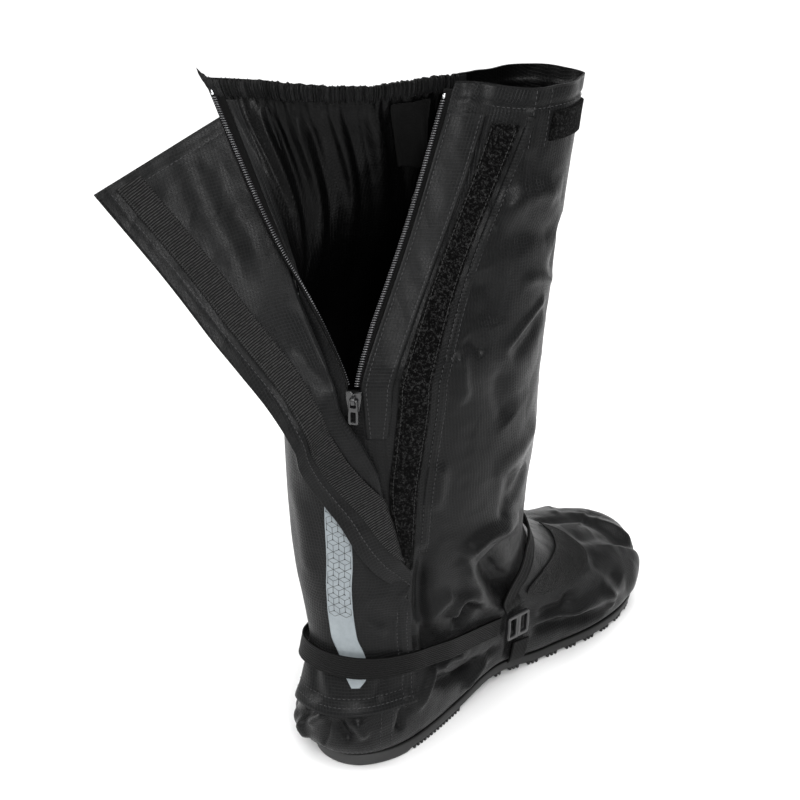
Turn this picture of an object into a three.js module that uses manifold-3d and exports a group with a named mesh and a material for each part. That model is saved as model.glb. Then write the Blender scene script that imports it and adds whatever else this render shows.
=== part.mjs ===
import * as THREE from 'three';
import { mergeVertices } from 'three/addons/utils/BufferGeometryUtils.js';
import Module from 'manifold-3d';

// Left rain overboot. Millimetres, +Z up, toe towards +Y, medial side towards +X.
// The origin is under the middle of the heel, on the plane that the sole stands on.

const wasm = await Module();
wasm.setup();

// Driving sizes of the foot and the shaft
const soleLength = 315;
const heelReach = 37;
const ballWidth = 105;
const footHeight = 100;
const sliderHeight = 262;
const shaftHeight = 425;
const shaftDepth = 164;
const wall = 1.2;

// Sole
const plateThickness = 5.4;
const lugHeight = 4;
const lugLength = 4.6;
const lugPitch = 9;
const lugInset = 2;
const archRise = 5;
const toeSpring = 7;
const soleInset = 1.5;
const bandSwell = 0.3;
const lugRoot = 1.5;

// Clearances between pieces
const seat = 0.3;
const layer = 0.8;

// Collar tunnel
const tunnelHeight = 10;
const tunnelStep = 1.8;

// Rear zip
const zipAngle = 46;
const chainWidth = 4.6;
const chainThickness = 2;
const lateralHem = 5;
const sliderLength = 12;
const sliderWidth = 9;
const sliderThickness = 5;
const pullLength = 15;
const pullWidth = 6;
const pullThickness = 1.6;
const pinRadius = 0.9;
const stopLength = 4;

// Storm flap
const flapThickness = 0.9;
const flapDrop = 15;
const flapHem = 47;
const flapTop = shaftHeight - flapDrop;
const rollHeight = 4;

// Tapes, straps and trim
const tapeThickness = 1.4;
const trimThickness = 0.7;
const strapWidth = 14;
const strapThickness = 1.3;
const buckleLength = 20;
const buckleWidth = 19;
const buckleBar = 2.6;
const buckleThickness = 3;

const MATERIALS = {
  rubber: { color: 0x2b2c2f, roughness: 0.7, metalness: 0 },
  nylon: { color: 0x37373a, roughness: 0.55, metalness: 0 },
  tape: { color: 0x161618, roughness: 0.95, metalness: 0 },
  webbing: { color: 0x1d1d1f, roughness: 0.85, metalness: 0 },
  zip: { color: 0x1a1a1c, roughness: 0.35, metalness: 0 },
  metal: { color: 0xc4c6c8, roughness: 0.3, metalness: 1 },
  patch: { color: 0x1c1c1d, roughness: 0.6, metalness: 0 },
  reflective: { color: 0xaeb4b8, roughness: 0.45, metalness: 0 },
};

// Closed rows of the body. level: 0 to 1 is the foot's height, 1 to 2 runs on to the slider.
// The lengths are shares: levels of the heights, y of the sole's length, half-widths of the ball width.
const BODY_COLUMNS = [
  'levelBack', 'levelFront', 'yBack', 'yFront', 'medial', 'lateral', 'foot', 'turn', 'middle',
];
const BODY_ROWS = [
  [0.102, 0.102, 0.000, 0.995, 0.500, 0.500, 1.00, 0, 0.00],
  [0.150, 0.145, -0.028, 1.005, 0.535, 0.540, 0.97, 0, 0.00],
  [0.240, 0.220, -0.044, 1.013, 0.550, 0.565, 0.93, 0, 0.00],
  [0.420, 0.390, -0.044, 0.997, 0.550, 0.570, 0.85, 0, 0.00],
  [0.580, 0.535, -0.028, 0.937, 0.524, 0.552, 0.70, 0, -0.01],
  [0.720, 0.640, -0.010, 0.835, 0.495, 0.535, 0.50, 0, -0.02],
  [0.860, 0.740, 0.000, 0.727, 0.476, 0.514, 0.32, 0, -0.02],
  [1.012, 0.880, 0.000, 0.632, 0.476, 0.514, 0.15, 2, -0.02],
  [1.136, 1.062, -0.003, 0.556, 0.495, 0.524, 0.05, 5, -0.02],
  [1.296, 1.259, -0.003, 0.530, 0.514, 0.524, 0.00, 12, -0.01],
  [1.586, 1.574, 0.000, 0.523, 0.524, 0.524, 0.00, 20, 0.00],
  [2.000, 2.000, 0.003, 0.523, 0.524, 0.524, 0.00, 27, 0.01],
];

// Sole outline: how wide each side is, against an ellipse, at shares of the length from the heel.
const OUTLINE_COLUMNS = ['along', 'medial', 'lateral'];
const OUTLINE_ROWS = [
  [0.00, 1.30, 1.30],
  [0.04, 1.15, 1.13],
  [0.10, 1.02, 1.00],
  [0.20, 0.81, 0.83],
  [0.32, 0.64, 0.74],
  [0.45, 0.62, 0.78],
  [0.58, 0.80, 0.92],
  [0.70, 1.06, 1.07],
  [0.80, 1.25, 1.17],
  [0.89, 1.39, 1.20],
  [0.96, 1.42, 1.10],
  [1.00, 1.40, 1.05],
];

// Collar, in shares of the shaft's depth, from the medial zip edge round the front to the other edge.
const COLLAR_COLUMNS = ['x', 'y'];
const COLLAR_ROWS = [
  [0.067, 0.409],
  [0.134, 0.457],
  [0.250, 0.476],
  [0.348, 0.530],
  [0.384, 0.659],
  [0.348, 0.787],
  [0.220, 0.817],
  [0.098, 0.756],
  [0.030, 0.561],
  [-0.055, 0.335],
  [-0.122, 0.165],
  [-0.293, 0.043],
  [-0.488, -0.030],
  [-0.622, -0.110],
];

// The same loop half way up the opening, where the lateral panel swings outwards.
const MIDDLE_ROWS = [
  [0.078, 0.154],
  [0.155, 0.214],
  [0.265, 0.288],
  [0.348, 0.389],
  [0.382, 0.544],
  [0.350, 0.688],
  [0.244, 0.758],
  [0.120, 0.751],
  [-0.023, 0.616],
  [-0.159, 0.402],
  [-0.213, 0.232],
  [-0.274, 0.073],
  [-0.311, -0.043],
  [-0.311, -0.140],
];
const middleRise = 0.48;
const openingEase = 0.06;

const names = (columns, rows) => rows.map((row) => Object.fromEntries(row.map((v, i) => [columns[i], v])));
const body = names(BODY_COLUMNS, BODY_ROWS);
const outline = names(OUTLINE_COLUMNS, OUTLINE_ROWS);
const collar = names(COLLAR_COLUMNS, COLLAR_ROWS);
const middle = names(COLLAR_COLUMNS, MIDDLE_ROWS);

const clamp = (x, a, b) => Math.min(b, Math.max(a, x));
const lerp = (a, b, t) => a + (b - a) * t;
const radians = (degrees) => (degrees * Math.PI) / 180;

// Smooth value of a column at x, where keys are the rows' own places.
function smooth(keys, values, x) {
  const last = keys.length - 1;
  let i = 0;
  while (i < last - 1 && x > keys[i + 1]) i += 1;
  const slope = (k) => {
    const a = Math.max(k - 1, 0);
    const b = Math.min(k + 1, last);
    return (values[b] - values[a]) / (keys[b] - keys[a]);
  };
  const h = keys[i + 1] - keys[i];
  const s = clamp((x - keys[i]) / h, 0, 1);
  const s2 = s * s;
  const s3 = s2 * s;
  return (2 * s3 - 3 * s2 + 1) * values[i] + (s3 - 2 * s2 + s) * h * slope(i)
    + (3 * s2 - 2 * s3) * values[i + 1] + (s3 - s2) * h * slope(i + 1);
}

const bodyKeys = body.map((row, i) => i);
const column = (rows, name) => rows.map((row) => row[name]);
const bodyColumn = Object.fromEntries(BODY_COLUMNS.map((name) => [name, column(body, name)]));
const outlineColumn = Object.fromEntries(OUTLINE_COLUMNS.map((name) => [name, column(outline, name)]));
const lastRow = body.length - 1;

// Height of a level: the foot first, then the stretch up to the slider.
const heightOf = (level) => (level <= 1 ? level * footHeight
  : footHeight + (level - 1) * (sliderHeight - footHeight));
// Height of a stage of the shaft: 0 to 1 runs up to the slider, 1 to 2 on to the collar.
const stageHeight = (stage) => (stage <= 1 ? stage * sliderHeight
  : sliderHeight + (stage - 1) * (shaftHeight - sliderHeight));
const yOf = (share) => -heelReach + share * soleLength;

// How far the sole's underside lifts off the ground at a place along it: arch and toe spring.
function soleRise(y) {
  const s = clamp((y + heelReach) / soleLength, 0, 1);
  const arch = archRise * Math.sin(Math.PI * clamp((s - 0.28) / 0.28, 0, 1)) ** 2;
  const toe = toeSpring * clamp((s - 0.78) / 0.22, 0, 1) ** 2;
  return arch + toe;
}

// Width of the foot's outline beside the ellipse, for a place t along and the side.
function fullness(t, isMedial) {
  return smooth(outlineColumn.along, outlineColumn[isMedial ? 'medial' : 'lateral'], t);
}

// Point of the closed body at a row station and an angle in degrees: 0 back, 90 medial, 180 front.
function closedPoint(v, angle) {
  const at = (name) => smooth(bodyKeys, bodyColumn[name], v);
  const th = radians(angle);
  const t = (1 - Math.cos(th)) / 2;
  const side = Math.sin(th);
  const full = 1 + (fullness(t, side >= 0) - 1) * at('foot');
  const across = (side >= 0 ? at('medial') : at('lateral')) * ballWidth * full * side;
  const back = yOf(at('yBack'));
  const front = yOf(at('yFront'));
  const centre = (back + front) / 2;
  const along = lerp(back, front, t) - centre;
  const turn = -radians(at('turn'));
  const x = at('middle') * ballWidth + across * Math.cos(turn) - along * Math.sin(turn);
  const y = centre + across * Math.sin(turn) + along * Math.cos(turn);
  const z = lerp(heightOf(at('levelBack')), heightOf(at('levelFront')), t);
  return new THREE.Vector3(x, y, z + soleRise(y) * clamp(at('foot'), 0, 1) ** 3);
}

// Row station of the closed body at an angle and a height.
function stationAt(angle, z) {
  let low = 0;
  let high = lastRow;
  for (let i = 0; i < 30; i += 1) {
    const mid = (low + high) / 2;
    if (closedPoint(mid, angle).z < z) low = mid;
    else high = mid;
  }
  return (low + high) / 2;
}

const collarRun = [0];
collar.forEach((p, i) => {
  if (i > 0) collarRun.push(collarRun[i - 1] + Math.hypot(p.x - collar[i - 1].x, p.y - collar[i - 1].y));
});
const collarGirth = collarRun[collarRun.length - 1];

// Zip edges leave this gap, in degrees each side, where the closed part ends.
const zipGap = 3;
const angleAt = (u) => zipAngle + zipGap + (360 - 2 * zipGap) * u;

// Point of the shaft above the slider: u runs from the medial zip edge round to the other one.
function openPoint(z, u) {
  const rise = clamp((z - sliderHeight) / (shaftHeight - sliderHeight), 0, 1);
  const below = closedPoint(lastRow, angleAt(u));
  const s = u * collarGirth;
  const loop = (rows, axis) => smooth(collarRun, column(rows, axis), s) * shaftDepth;
  const eased = (rise * rise * (1 + openingEase)) / (rise + openingEase);
  const keys = [0, middleRise, 1];
  const x = smooth(keys, [below.x, loop(middle, 'x'), loop(collar, 'x')], eased);
  const y = smooth(keys, [below.y, loop(middle, 'y'), loop(collar, 'y')], eased);
  return new THREE.Vector3(x, y, z);
}

// Skin of the whole upper by height and u, with an offset outwards.
const rawSkin = (z, u) => {
  if (z > sliderHeight) return openPoint(z, u);
  const angle = angleAt(u);
  return closedPoint(stationAt(angle, z), angle);
};
function offsetPoint(point, a, b, c, d, offset) {
  const normal = new THREE.Vector3().subVectors(a, b).cross(new THREE.Vector3().subVectors(c, d)).normalize();
  return point.clone().addScaledVector(normal, offset);
}
function skin(z, u, offset) {
  const du = 0.004;
  const dz = 0.8;
  const low = z > sliderHeight ? Math.max(z - dz, sliderHeight + 0.01) : z - dz;
  const high = z > sliderHeight ? Math.min(z + dz, shaftHeight) : Math.min(z + dz, sliderHeight);
  const open = z > sliderHeight;
  const right = open ? Math.min(u + du, 1) : u + du;
  const left = open ? Math.max(u - du, 0) : u - du;
  const across = [rawSkin(z, right), rawSkin(z, left)];
  return offsetPoint(rawSkin(z, u), ...across, rawSkin(high, u), rawSkin(low, u), offset);
}
// Skin of the closed part by row station and angle, for pieces on the foot.
function footSkin(v, angle, offset) {
  const dv = 0.05;
  const high = closedPoint(Math.min(v + dv, lastRow), angle);
  const low = closedPoint(Math.max(v - dv, 0), angle);
  const across = [closedPoint(v, angle + 1.5), closedPoint(v, angle - 1.5)];
  return offsetPoint(closedPoint(v, angle), ...across, high, low, offset);
}
const skinByAngle = (z, angle, offset) => footSkin(stationAt(angle, z), angle, offset);

const group = new THREE.Group();

function solidGeometry(points, faces) {
  const positions = new Float32Array(points.flatMap((p) => [p.x, p.y, p.z]));
  let volume = 0;
  faces.forEach(([a, b, c]) => {
    volume += points[a].dot(new THREE.Vector3().crossVectors(points[b], points[c]));
  });
  const wound = volume < 0 ? faces.map(([a, b, c]) => [a, c, b]) : faces;
  const geometry = new THREE.BufferGeometry();
  geometry.setAttribute('position', new THREE.BufferAttribute(positions, 3));
  geometry.setIndex(wound.flat());
  return geometry;
}

function addMesh(name, geometry, material, parent = group) {
  const mesh = new THREE.Mesh(geometry, new THREE.MeshStandardMaterial(MATERIALS[material]));
  mesh.name = name;
  parent.add(mesh);
  return mesh;
}

function toManifold(geometry) {
  const bare = geometry.clone();
  bare.deleteAttribute('normal');
  bare.deleteAttribute('uv');
  const merged = mergeVertices(bare, 1e-4);
  return new wasm.Manifold(new wasm.Mesh({
    numProp: 3,
    vertProperties: new Float32Array(merged.attributes.position.array),
    triVerts: new Uint32Array(merged.index.array),
  }));
}

function fromManifold(solid) {
  const mesh = solid.getMesh();
  const geometry = new THREE.BufferGeometry();
  geometry.setAttribute('position', new THREE.BufferAttribute(new Float32Array(mesh.vertProperties), 3));
  geometry.setIndex(Array.from(mesh.triVerts));
  return geometry;
}

// A sheet with thickness: place(s, t, side) gives its points, side 0 inside and 1 outside.
function sheetGeometry(place, stepsS, stepsT) {
  const points = [];
  const faces = [];
  const index = (i, j, side) => side * (stepsS + 1) * (stepsT + 1) + i * (stepsT + 1) + j;
  for (let side = 0; side < 2; side += 1) {
    for (let i = 0; i <= stepsS; i += 1) {
      for (let j = 0; j <= stepsT; j += 1) points.push(place(i / stepsS, j / stepsT, side));
    }
  }
  const quad = (a, b, c, d) => faces.push([a, b, c], [a, c, d]);
  for (let i = 0; i < stepsS; i += 1) {
    for (let j = 0; j < stepsT; j += 1) {
      quad(index(i, j, 1), index(i + 1, j, 1), index(i + 1, j + 1, 1), index(i, j + 1, 1));
      quad(index(i, j, 0), index(i, j + 1, 0), index(i + 1, j + 1, 0), index(i + 1, j, 0));
    }
    quad(index(i, 0, 0), index(i + 1, 0, 0), index(i + 1, 0, 1), index(i, 0, 1));
    quad(index(i, stepsT, 1), index(i + 1, stepsT, 1), index(i + 1, stepsT, 0), index(i, stepsT, 0));
  }
  for (let j = 0; j < stepsT; j += 1) {
    quad(index(0, j, 1), index(0, j + 1, 1), index(0, j + 1, 0), index(0, j, 0));
    quad(index(stepsS, j, 0), index(stepsS, j + 1, 0), index(stepsS, j + 1, 1), index(stepsS, j, 1));
  }
  return solidGeometry(points, faces);
}

// Upper: an outer and an inner skin, joined along the collar, the zip edges and the bottom.
function upperGeometry() {
  const columns = 42;
  const footStations = [0, 0.5, 1, 1.6, 2.3, 3, 3.6, 4.2, 4.7, 5.2, 5.7, 6.2, 6.7];
  const legStations = [7.2, 7.8, 8.4, 9, 9.4, 9.8, 10.2, 10.6, lastRow];
  const closedStations = [...footStations, ...legStations];
  const openShares = [0.08, 0.18, 0.30, 0.43, 0.57, 0.72, 0.87];
  const tunnelFoot = shaftHeight - tunnelHeight;
  const openHeights = openShares.map((s) => lerp(sliderHeight, tunnelFoot, s));
  openHeights.push(tunnelFoot, tunnelFoot + 0.6, shaftHeight);
  const sliderRow = closedStations.length - 1;
  const place = (i, j, inside) => {
    const u = j / columns;
    if (i <= sliderRow) return footSkin(closedStations[i], angleAt(u), inside ? -wall : 0);
    const z = openHeights[i - sliderRow - 1];
    const gathered = z > tunnelFoot + 0.1 && u > 0.55 && u < 0.95;
    const depth = wall + (gathered ? tunnelStep : 0);
    return skin(z, u, inside ? -depth : 0);
  };
  const rows = closedStations.length + openHeights.length;
  const points = [];
  const faces = [];
  const index = (i, j, inside) => (inside * rows + i) * (columns + 1) + j;
  for (let inside = 0; inside < 2; inside += 1) {
    for (let i = 0; i < rows; i += 1) {
      for (let j = 0; j <= columns; j += 1) points.push(place(i, j, inside));
    }
  }
  const quad = (a, b, c, d) => faces.push([a, b, c], [a, c, d]);
  const span = (i, j, k) => {
    quad(index(i, j, 0), index(i, k, 0), index(i + 1, k, 0), index(i + 1, j, 0));
    quad(index(i, j, 1), index(i + 1, j, 1), index(i + 1, k, 1), index(i, k, 1));
  };
  const rim = (i, j, k) => quad(index(i, j, 0), index(i, k, 0), index(i, k, 1), index(i, j, 1));
  for (let i = 0; i < rows - 1; i += 1) {
    for (let j = 0; j < columns; j += 1) span(i, j, j + 1);
    if (i < sliderRow) {
      span(i, columns, 0);
    } else {
      quad(index(i, 0, 0), index(i + 1, 0, 0), index(i + 1, 0, 1), index(i, 0, 1));
      quad(index(i, columns, 1), index(i + 1, columns, 1), index(i + 1, columns, 0), index(i, columns, 0));
    }
  }
  for (let j = 0; j < columns; j += 1) {
    rim(0, j + 1, j);
    rim(rows - 1, j, j + 1);
  }
  rim(0, 0, columns);
  rim(sliderRow, columns, 0);
  return solidGeometry(points, faces);
}
addMesh('upper', upperGeometry(), 'nylon');

// Outline of the sole at an angle, moved outwards by a margin.
function solePoint(angle, margin, z) {
  const th = radians(angle);
  const t = (1 - Math.cos(th)) / 2;
  const side = Math.sin(th);
  const across = (0.5 * ballWidth + soleInset + margin) * fullness(t, side >= 0) * side;
  const y = lerp(yOf(0) - soleInset - margin, yOf(0.995) + soleInset + margin, t);
  return new THREE.Vector3(across, y, z);
}

// A slab between two heights over the sole's outline; bottom and top are functions of y.
function soleSlab(margins, heights) {
  const steps = 56;
  const points = [];
  const faces = [];
  margins.forEach((margin, ring) => {
    for (let i = 0; i < steps; i += 1) {
      const p = solePoint((360 * i) / steps, margin, 0);
      points.push(new THREE.Vector3(p.x, p.y, heights[ring](p.y)));
    }
  });
  for (let ring = 0; ring < margins.length - 1; ring += 1) {
    for (let i = 0; i < steps; i += 1) {
      const k = (i + 1) % steps;
      faces.push([ring * steps + i, ring * steps + k, (ring + 1) * steps + k]);
      faces.push([ring * steps + i, (ring + 1) * steps + k, (ring + 1) * steps + i]);
    }
  }
  // The flat faces are spanned across, from one side of the foot to the other.
  [0, margins.length - 1].forEach((ring) => {
    const base = ring * steps;
    const flip = ring > 0;
    const push = (a, b, c) => {
      const turned = flip ? [a, b, c] : [a, c, b];
      faces.push(turned.map((k) => base + k));
    };
    for (let i = 0; i < steps / 2; i += 1) {
      const a = i;
      const b = i + 1;
      const c = (steps - i - 1) % steps;
      const d = (steps - i) % steps;
      if (i > 0) push(a, c, d);
      if (i < steps / 2 - 1) push(a, b, c);
    }
  });
  return solidGeometry(points, faces);
}

// Sole: a plate with a band round its edge, and cross lugs under the heel and the forefoot.
function outsoleGeometry() {
  const bottom = (y) => lugHeight + soleRise(y);
  const top = (y) => bottom(y) + plateThickness;
  const low = (y) => bottom(y) + 0.25 * plateThickness;
  const high = (y) => top(y) - 0.22 * plateThickness;
  const plate = toManifold(soleSlab([-soleInset, 0, bandSwell, 0], [bottom, low, high, top]));
  const prism = toManifold(soleSlab([-lugInset, -lugInset], [() => -lugHeight, () => footHeight]));
  let solid = plate;
  const lugZones = [[0.035, 0.27], [0.56, 0.94]];
  lugZones.forEach(([from, to]) => {
    const count = Math.floor(((to - from) * soleLength) / lugPitch);
    for (let i = 0; i <= count; i += 1) {
      const y = yOf(from) + i * lugPitch;
      const root = bottom(y) + lugRoot;
      const box = new THREE.BoxGeometry(2 * ballWidth, lugLength, root - soleRise(y));
      box.translate(0, y, (root + soleRise(y)) / 2);
      solid = solid.add(toManifold(box).intersect(prism));
    }
  });
  return fromManifold(solid);
}
addMesh('outsole', outsoleGeometry(), 'rubber');

// A tape or panel lying on the skin: rows of height with the u it runs between.
function tapeGeometry(rows, inner, thickness, stepsS, stepsT) {
  const keys = rows.map((row) => row[0]);
  const from = rows.map((row) => row[1]);
  const to = rows.map((row) => row[2]);
  const place = (s, t, side) => {
    const z = lerp(keys[0], keys[keys.length - 1], s);
    const u = lerp(smooth(keys, from, z), smooth(keys, to, z), t);
    return skin(z, u, inner + side * thickness);
  };
  return sheetGeometry(place, stepsS, stepsT);
}
const rowsOf = (table) => table.map((row) => [stageHeight(row[0]), row[1], row[2]]);

// Stage, then the u where the loop tape starts and ends.
const LOOP_ROWS = rowsOf([
  [0.543, 0.022, 0.037],
  [0.629, 0.022, 0.048],
  [0.748, 0.024, 0.062],
  [0.863, 0.038, 0.080],
  [0.999, 0.054, 0.100],
  [1.426, 0.066, 0.112],
  [1.877, 0.078, 0.126],
]);
addMesh('loop_strip', tapeGeometry(LOOP_ROWS, layer, tapeThickness, 22, 3), 'tape');

// Stage, then the u of the placket's fold and of its sewn edge.
const PLACKET_ROWS = rowsOf([
  [0.884, 0.008, 0.030],
  [0.999, 0.008, 0.043],
  [1.426, 0.010, 0.053],
  [1.896, 0.012, 0.064],
]);
addMesh('zip_placket', tapeGeometry(PLACKET_ROWS, layer, trimThickness, 18, 3), 'nylon');

// Stage, then the u round the front of the collar.
const COLLAR_PATCH_ROWS = rowsOf([
  [1.812, 0.205, 0.360],
  [1.911, 0.205, 0.360],
]);
addMesh('collar_patch', tapeGeometry(COLLAR_PATCH_ROWS, layer, tapeThickness, 3, 14), 'tape');

// Stage, then the u of the tab inside the collar.
const INNER_TAB_ROWS = rowsOf([
  [1.666, 0.600, 0.655],
  [1.922, 0.600, 0.680],
]);
const tabDepth = -(wall + layer + trimThickness);
addMesh('inner_tab', tapeGeometry(INNER_TAB_ROWS, tabDepth, trimThickness, 8, 4), 'tape');

// Zip: the medial teeth run on from their edge; the lateral ones lie on the inner face, beside the edge.
const chainFoot = sliderHeight + 4;
const chainTop = shaftHeight - stopLength - 6;
function edgeFrame(z, u) {
  const beside = u === 0 ? 0.01 : 0.99;
  const edge = skin(z, u, 0);
  const along = new THREE.Vector3().subVectors(edge, skin(z, beside, 0)).normalize();
  const normal = new THREE.Vector3().subVectors(skin(z, u, 1), edge).normalize();
  return { edge, along, normal };
}
const chainSpread = 36;
function chainPlace(side, fromZ, toZ, thickness) {
  return (s, t, face) => {
    const z = lerp(fromZ, toZ, s);
    const opened = clamp((z - sliderHeight) / chainSpread, 0, 1);
    const width = chainWidth * lerp(0.45, 1, opened);
    const frame = edgeFrame(z, side === 'left' ? 1 : 0);
    const near = side === 'left' ? lerp(seat, -chainWidth - lateralHem, opened) : seat;
    const middle = side === 'left' ? -wall - layer - chainThickness / 2 : -wall / 2;
    const beyond = near + width * t;
    const depth = middle + (face - 0.5) * thickness;
    if (beyond < 0) return skin(z, 1 + beyond / (collarGirth * shaftDepth), depth);
    return frame.edge.clone().addScaledVector(frame.along, beyond).addScaledVector(frame.normal, depth);
  };
}
['left', 'right'].forEach((side) => {
  const chain = chainPlace(side, chainFoot, chainTop, chainThickness);
  addMesh(`zip_chain_${side}`, sheetGeometry(chain, 24, 1), 'zip');
  const stopFoot = chainTop + seat;
  const stop = chainPlace(side, stopFoot, stopFoot + stopLength, chainThickness + 0.4);
  addMesh(`zip_stop_${side}`, sheetGeometry(stop, 1, 1), 'metal');
});

// Slider and pull tab: local X runs across the zip, Y up it and Z outwards.
const zipU = -zipGap / (360 - 2 * zipGap);
const sliderSeat = skin(sliderHeight - sliderLength / 2, zipU, 0);
const sliderFace = skin(sliderHeight - sliderLength / 2, zipU, 1);
const sliderOut = new THREE.Vector3().subVectors(sliderFace, sliderSeat);
sliderOut.setZ(0).normalize();
const sliderUp = new THREE.Vector3(0, 0, 1);
const sliderAcross = new THREE.Vector3().crossVectors(sliderUp, sliderOut);
const sliderFrame = new THREE.Group();
sliderFrame.position.copy(sliderSeat).addScaledVector(sliderOut, layer);
const sliderTurn = new THREE.Matrix4().makeBasis(sliderAcross, sliderUp, sliderOut);
sliderFrame.quaternion.setFromRotationMatrix(sliderTurn);
group.add(sliderFrame);

const platform = sliderThickness / 2;
const pinHeight = platform + 1.3;
const pinAlong = 1.2;
const eyeSide = 2 * pinRadius + 0.8;
const bridgeWidth = 2.4;
const bridgeRim = 1.2;

function block(width, length, height, x, y, z) {
  const box = new THREE.BoxGeometry(width, length, height);
  box.translate(x, y, z);
  return toManifold(box);
}

function sliderGeometry() {
  const half = sliderWidth / 2;
  const tail = half * 0.72;
  const shape = new THREE.Shape();
  shape.moveTo(-tail, -sliderLength / 2);
  shape.lineTo(tail, -sliderLength / 2);
  shape.lineTo(half, sliderLength * 0.15);
  shape.lineTo(half, sliderLength / 2);
  shape.lineTo(-half, sliderLength / 2);
  shape.lineTo(-half, sliderLength * 0.15);
  shape.closePath();
  const plate = new THREE.ExtrudeGeometry(shape, { depth: platform, bevelEnabled: false });
  const bridgeTop = pinHeight + eyeSide / 2 + bridgeRim;
  const bridgeHeight = bridgeTop - platform + 0.1;
  const bridgeLength = eyeSide + 2 * bridgeRim;
  const bridge = block(bridgeWidth, bridgeLength, bridgeHeight, 0, pinAlong, bridgeTop - bridgeHeight / 2);
  const eye = block(bridgeWidth + 2, eyeSide, eyeSide, 0, pinAlong, pinHeight);
  return fromManifold(toManifold(plate).add(bridge).subtract(eye));
}
addMesh('zip_slider', sliderGeometry(), 'zip', sliderFrame);

// The pull hangs from its pin; the opening round the bridge lets it swing.
function pullGeometry() {
  const swing = Math.hypot(eyeSide / 2 + bridgeRim, eyeSide / 2 + bridgeRim) + 0.5;
  const centre = (pinRadius - pullLength) / 2;
  const plate = block(pullWidth, pullLength + pinRadius, pullThickness, 0, centre, 0);
  const gap = swing - pinRadius;
  const bridgeHole = block(bridgeWidth + 0.8, gap, pullThickness + 1, 0, -pinRadius - gap / 2, 0);
  const windowLength = pullLength - swing - 5;
  const windowAt = -pullLength + pullThickness + windowLength / 2;
  const window = block(pullWidth - 3, windowLength, pullThickness + 1, 0, windowAt, 0);
  return fromManifold(plate.subtract(bridgeHole).subtract(window));
}
const pull = addMesh('zip_pull', pullGeometry(), 'zip', sliderFrame);
pull.position.set(0, pinAlong, pinHeight);

// Storm flap, a row for each stage. seam and roll are angles round the leg; the free edge is a point,
// x and y in shares of the shaft's depth. stage is a height, as stageHeight reads it.
const FLAP_COLUMNS = ['stage', 'seam', 'roll', 'edgeX', 'edgeY', 'edgeStage'];
const FLAP_ROWS = [
  [0.174, 342, 404, 0.235, -0.030, 0.174],
  [0.235, 342, 405, 0.215, -0.030, 0.235],
  [0.339, 342, 407, 0.200, -0.030, 0.339],
  [0.389, 342, 411, 0.215, -0.030, 0.389],
  [0.462, 342, 415, 0.222, -0.028, 0.459],
  [0.629, 342, 415, 0.150, -0.180, 0.581],
  [0.733, 342, 413, 0.072, -0.232, 0.680],
  [0.844, 342, 410, -0.018, -0.268, 0.753],
  [0.921, 343, 400, -0.030, -0.320, 0.811],
  [1.025, 346, 399, -0.040, -0.352, 0.889],
  [1.275, 357, 401, -0.293, -0.390, 1.087],
  [1.541, 372, 403, -0.524, -0.448, 1.348],
  [1.909, 388, 403, -0.789, -0.531, 1.640],
];
const flap = names(FLAP_COLUMNS, FLAP_ROWS);
const flapKeys = flap.map((row) => stageHeight(row.stage));
const flapColumn = Object.fromEntries(FLAP_COLUMNS.map((name) => [name, column(flap, name)]));
const closedBelow = 0.462;
const flapSeat = 2.4;
const hemReach = 7;
const layerBlend = 60;
const openSeat = layer + 0.4;
const uAt = (angle) => (angle - zipAngle - zipGap) / (360 - 2 * zipGap);

// Polyline of the flap at a height, on its inner side: along the skin, round the roll, to the free edge.
function flapPath(z) {
  const at = (name) => smooth(flapKeys, flapColumn[name], z);
  const seamU = uAt(at('seam'));
  const rollU = z > sliderHeight ? Math.min(uAt(at('roll')), 1) : uAt(at('roll'));
  const layerOut = lerp(flapSeat, openSeat, clamp((z - sliderHeight) / layerBlend, 0, 1));
  const lying = [];
  const runs = 24;
  for (let i = 0; i <= runs; i += 1) lying.push(skin(z, lerp(seamU, rollU, i / runs), layerOut));
  const end = lying[runs];
  const along = new THREE.Vector3().subVectors(end, lying[runs - 1]).normalize();
  const normal = new THREE.Vector3().subVectors(skin(z, rollU, layerOut + 1), end).normalize();
  const edgeX = at('edgeX') * shaftDepth;
  const edgeY = at('edgeY') * shaftDepth;
  const edge = new THREE.Vector3(edgeX, edgeY, stageHeight(at('edgeStage')));
  if (z < closedBelow * sliderHeight) return { path: lying, rollFrom: runs, rollTo: runs };
  const reach = edge.distanceTo(end);
  const radius = Math.min(rollHeight / 2, reach / 4);
  const middle = end.clone().addScaledVector(normal, radius);
  const aim = new THREE.Vector3().subVectors(edge, middle);
  const turn = Math.atan2(aim.dot(normal), aim.dot(along));
  const roll = [];
  if (turn > 0.2) {
    const arcSteps = 8;
    for (let i = 1; i <= arcSteps; i += 1) {
      const a = (turn * i) / arcSteps;
      const arc = middle.clone().addScaledVector(normal, -radius * Math.cos(a));
      roll.push(arc.addScaledVector(along, radius * Math.sin(a)));
    }
  } else {
    roll.push(end.clone().addScaledVector(along, hemReach));
  }
  return { path: [...lying, ...roll, edge], rollFrom: runs, rollTo: runs + roll.length };
}

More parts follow.
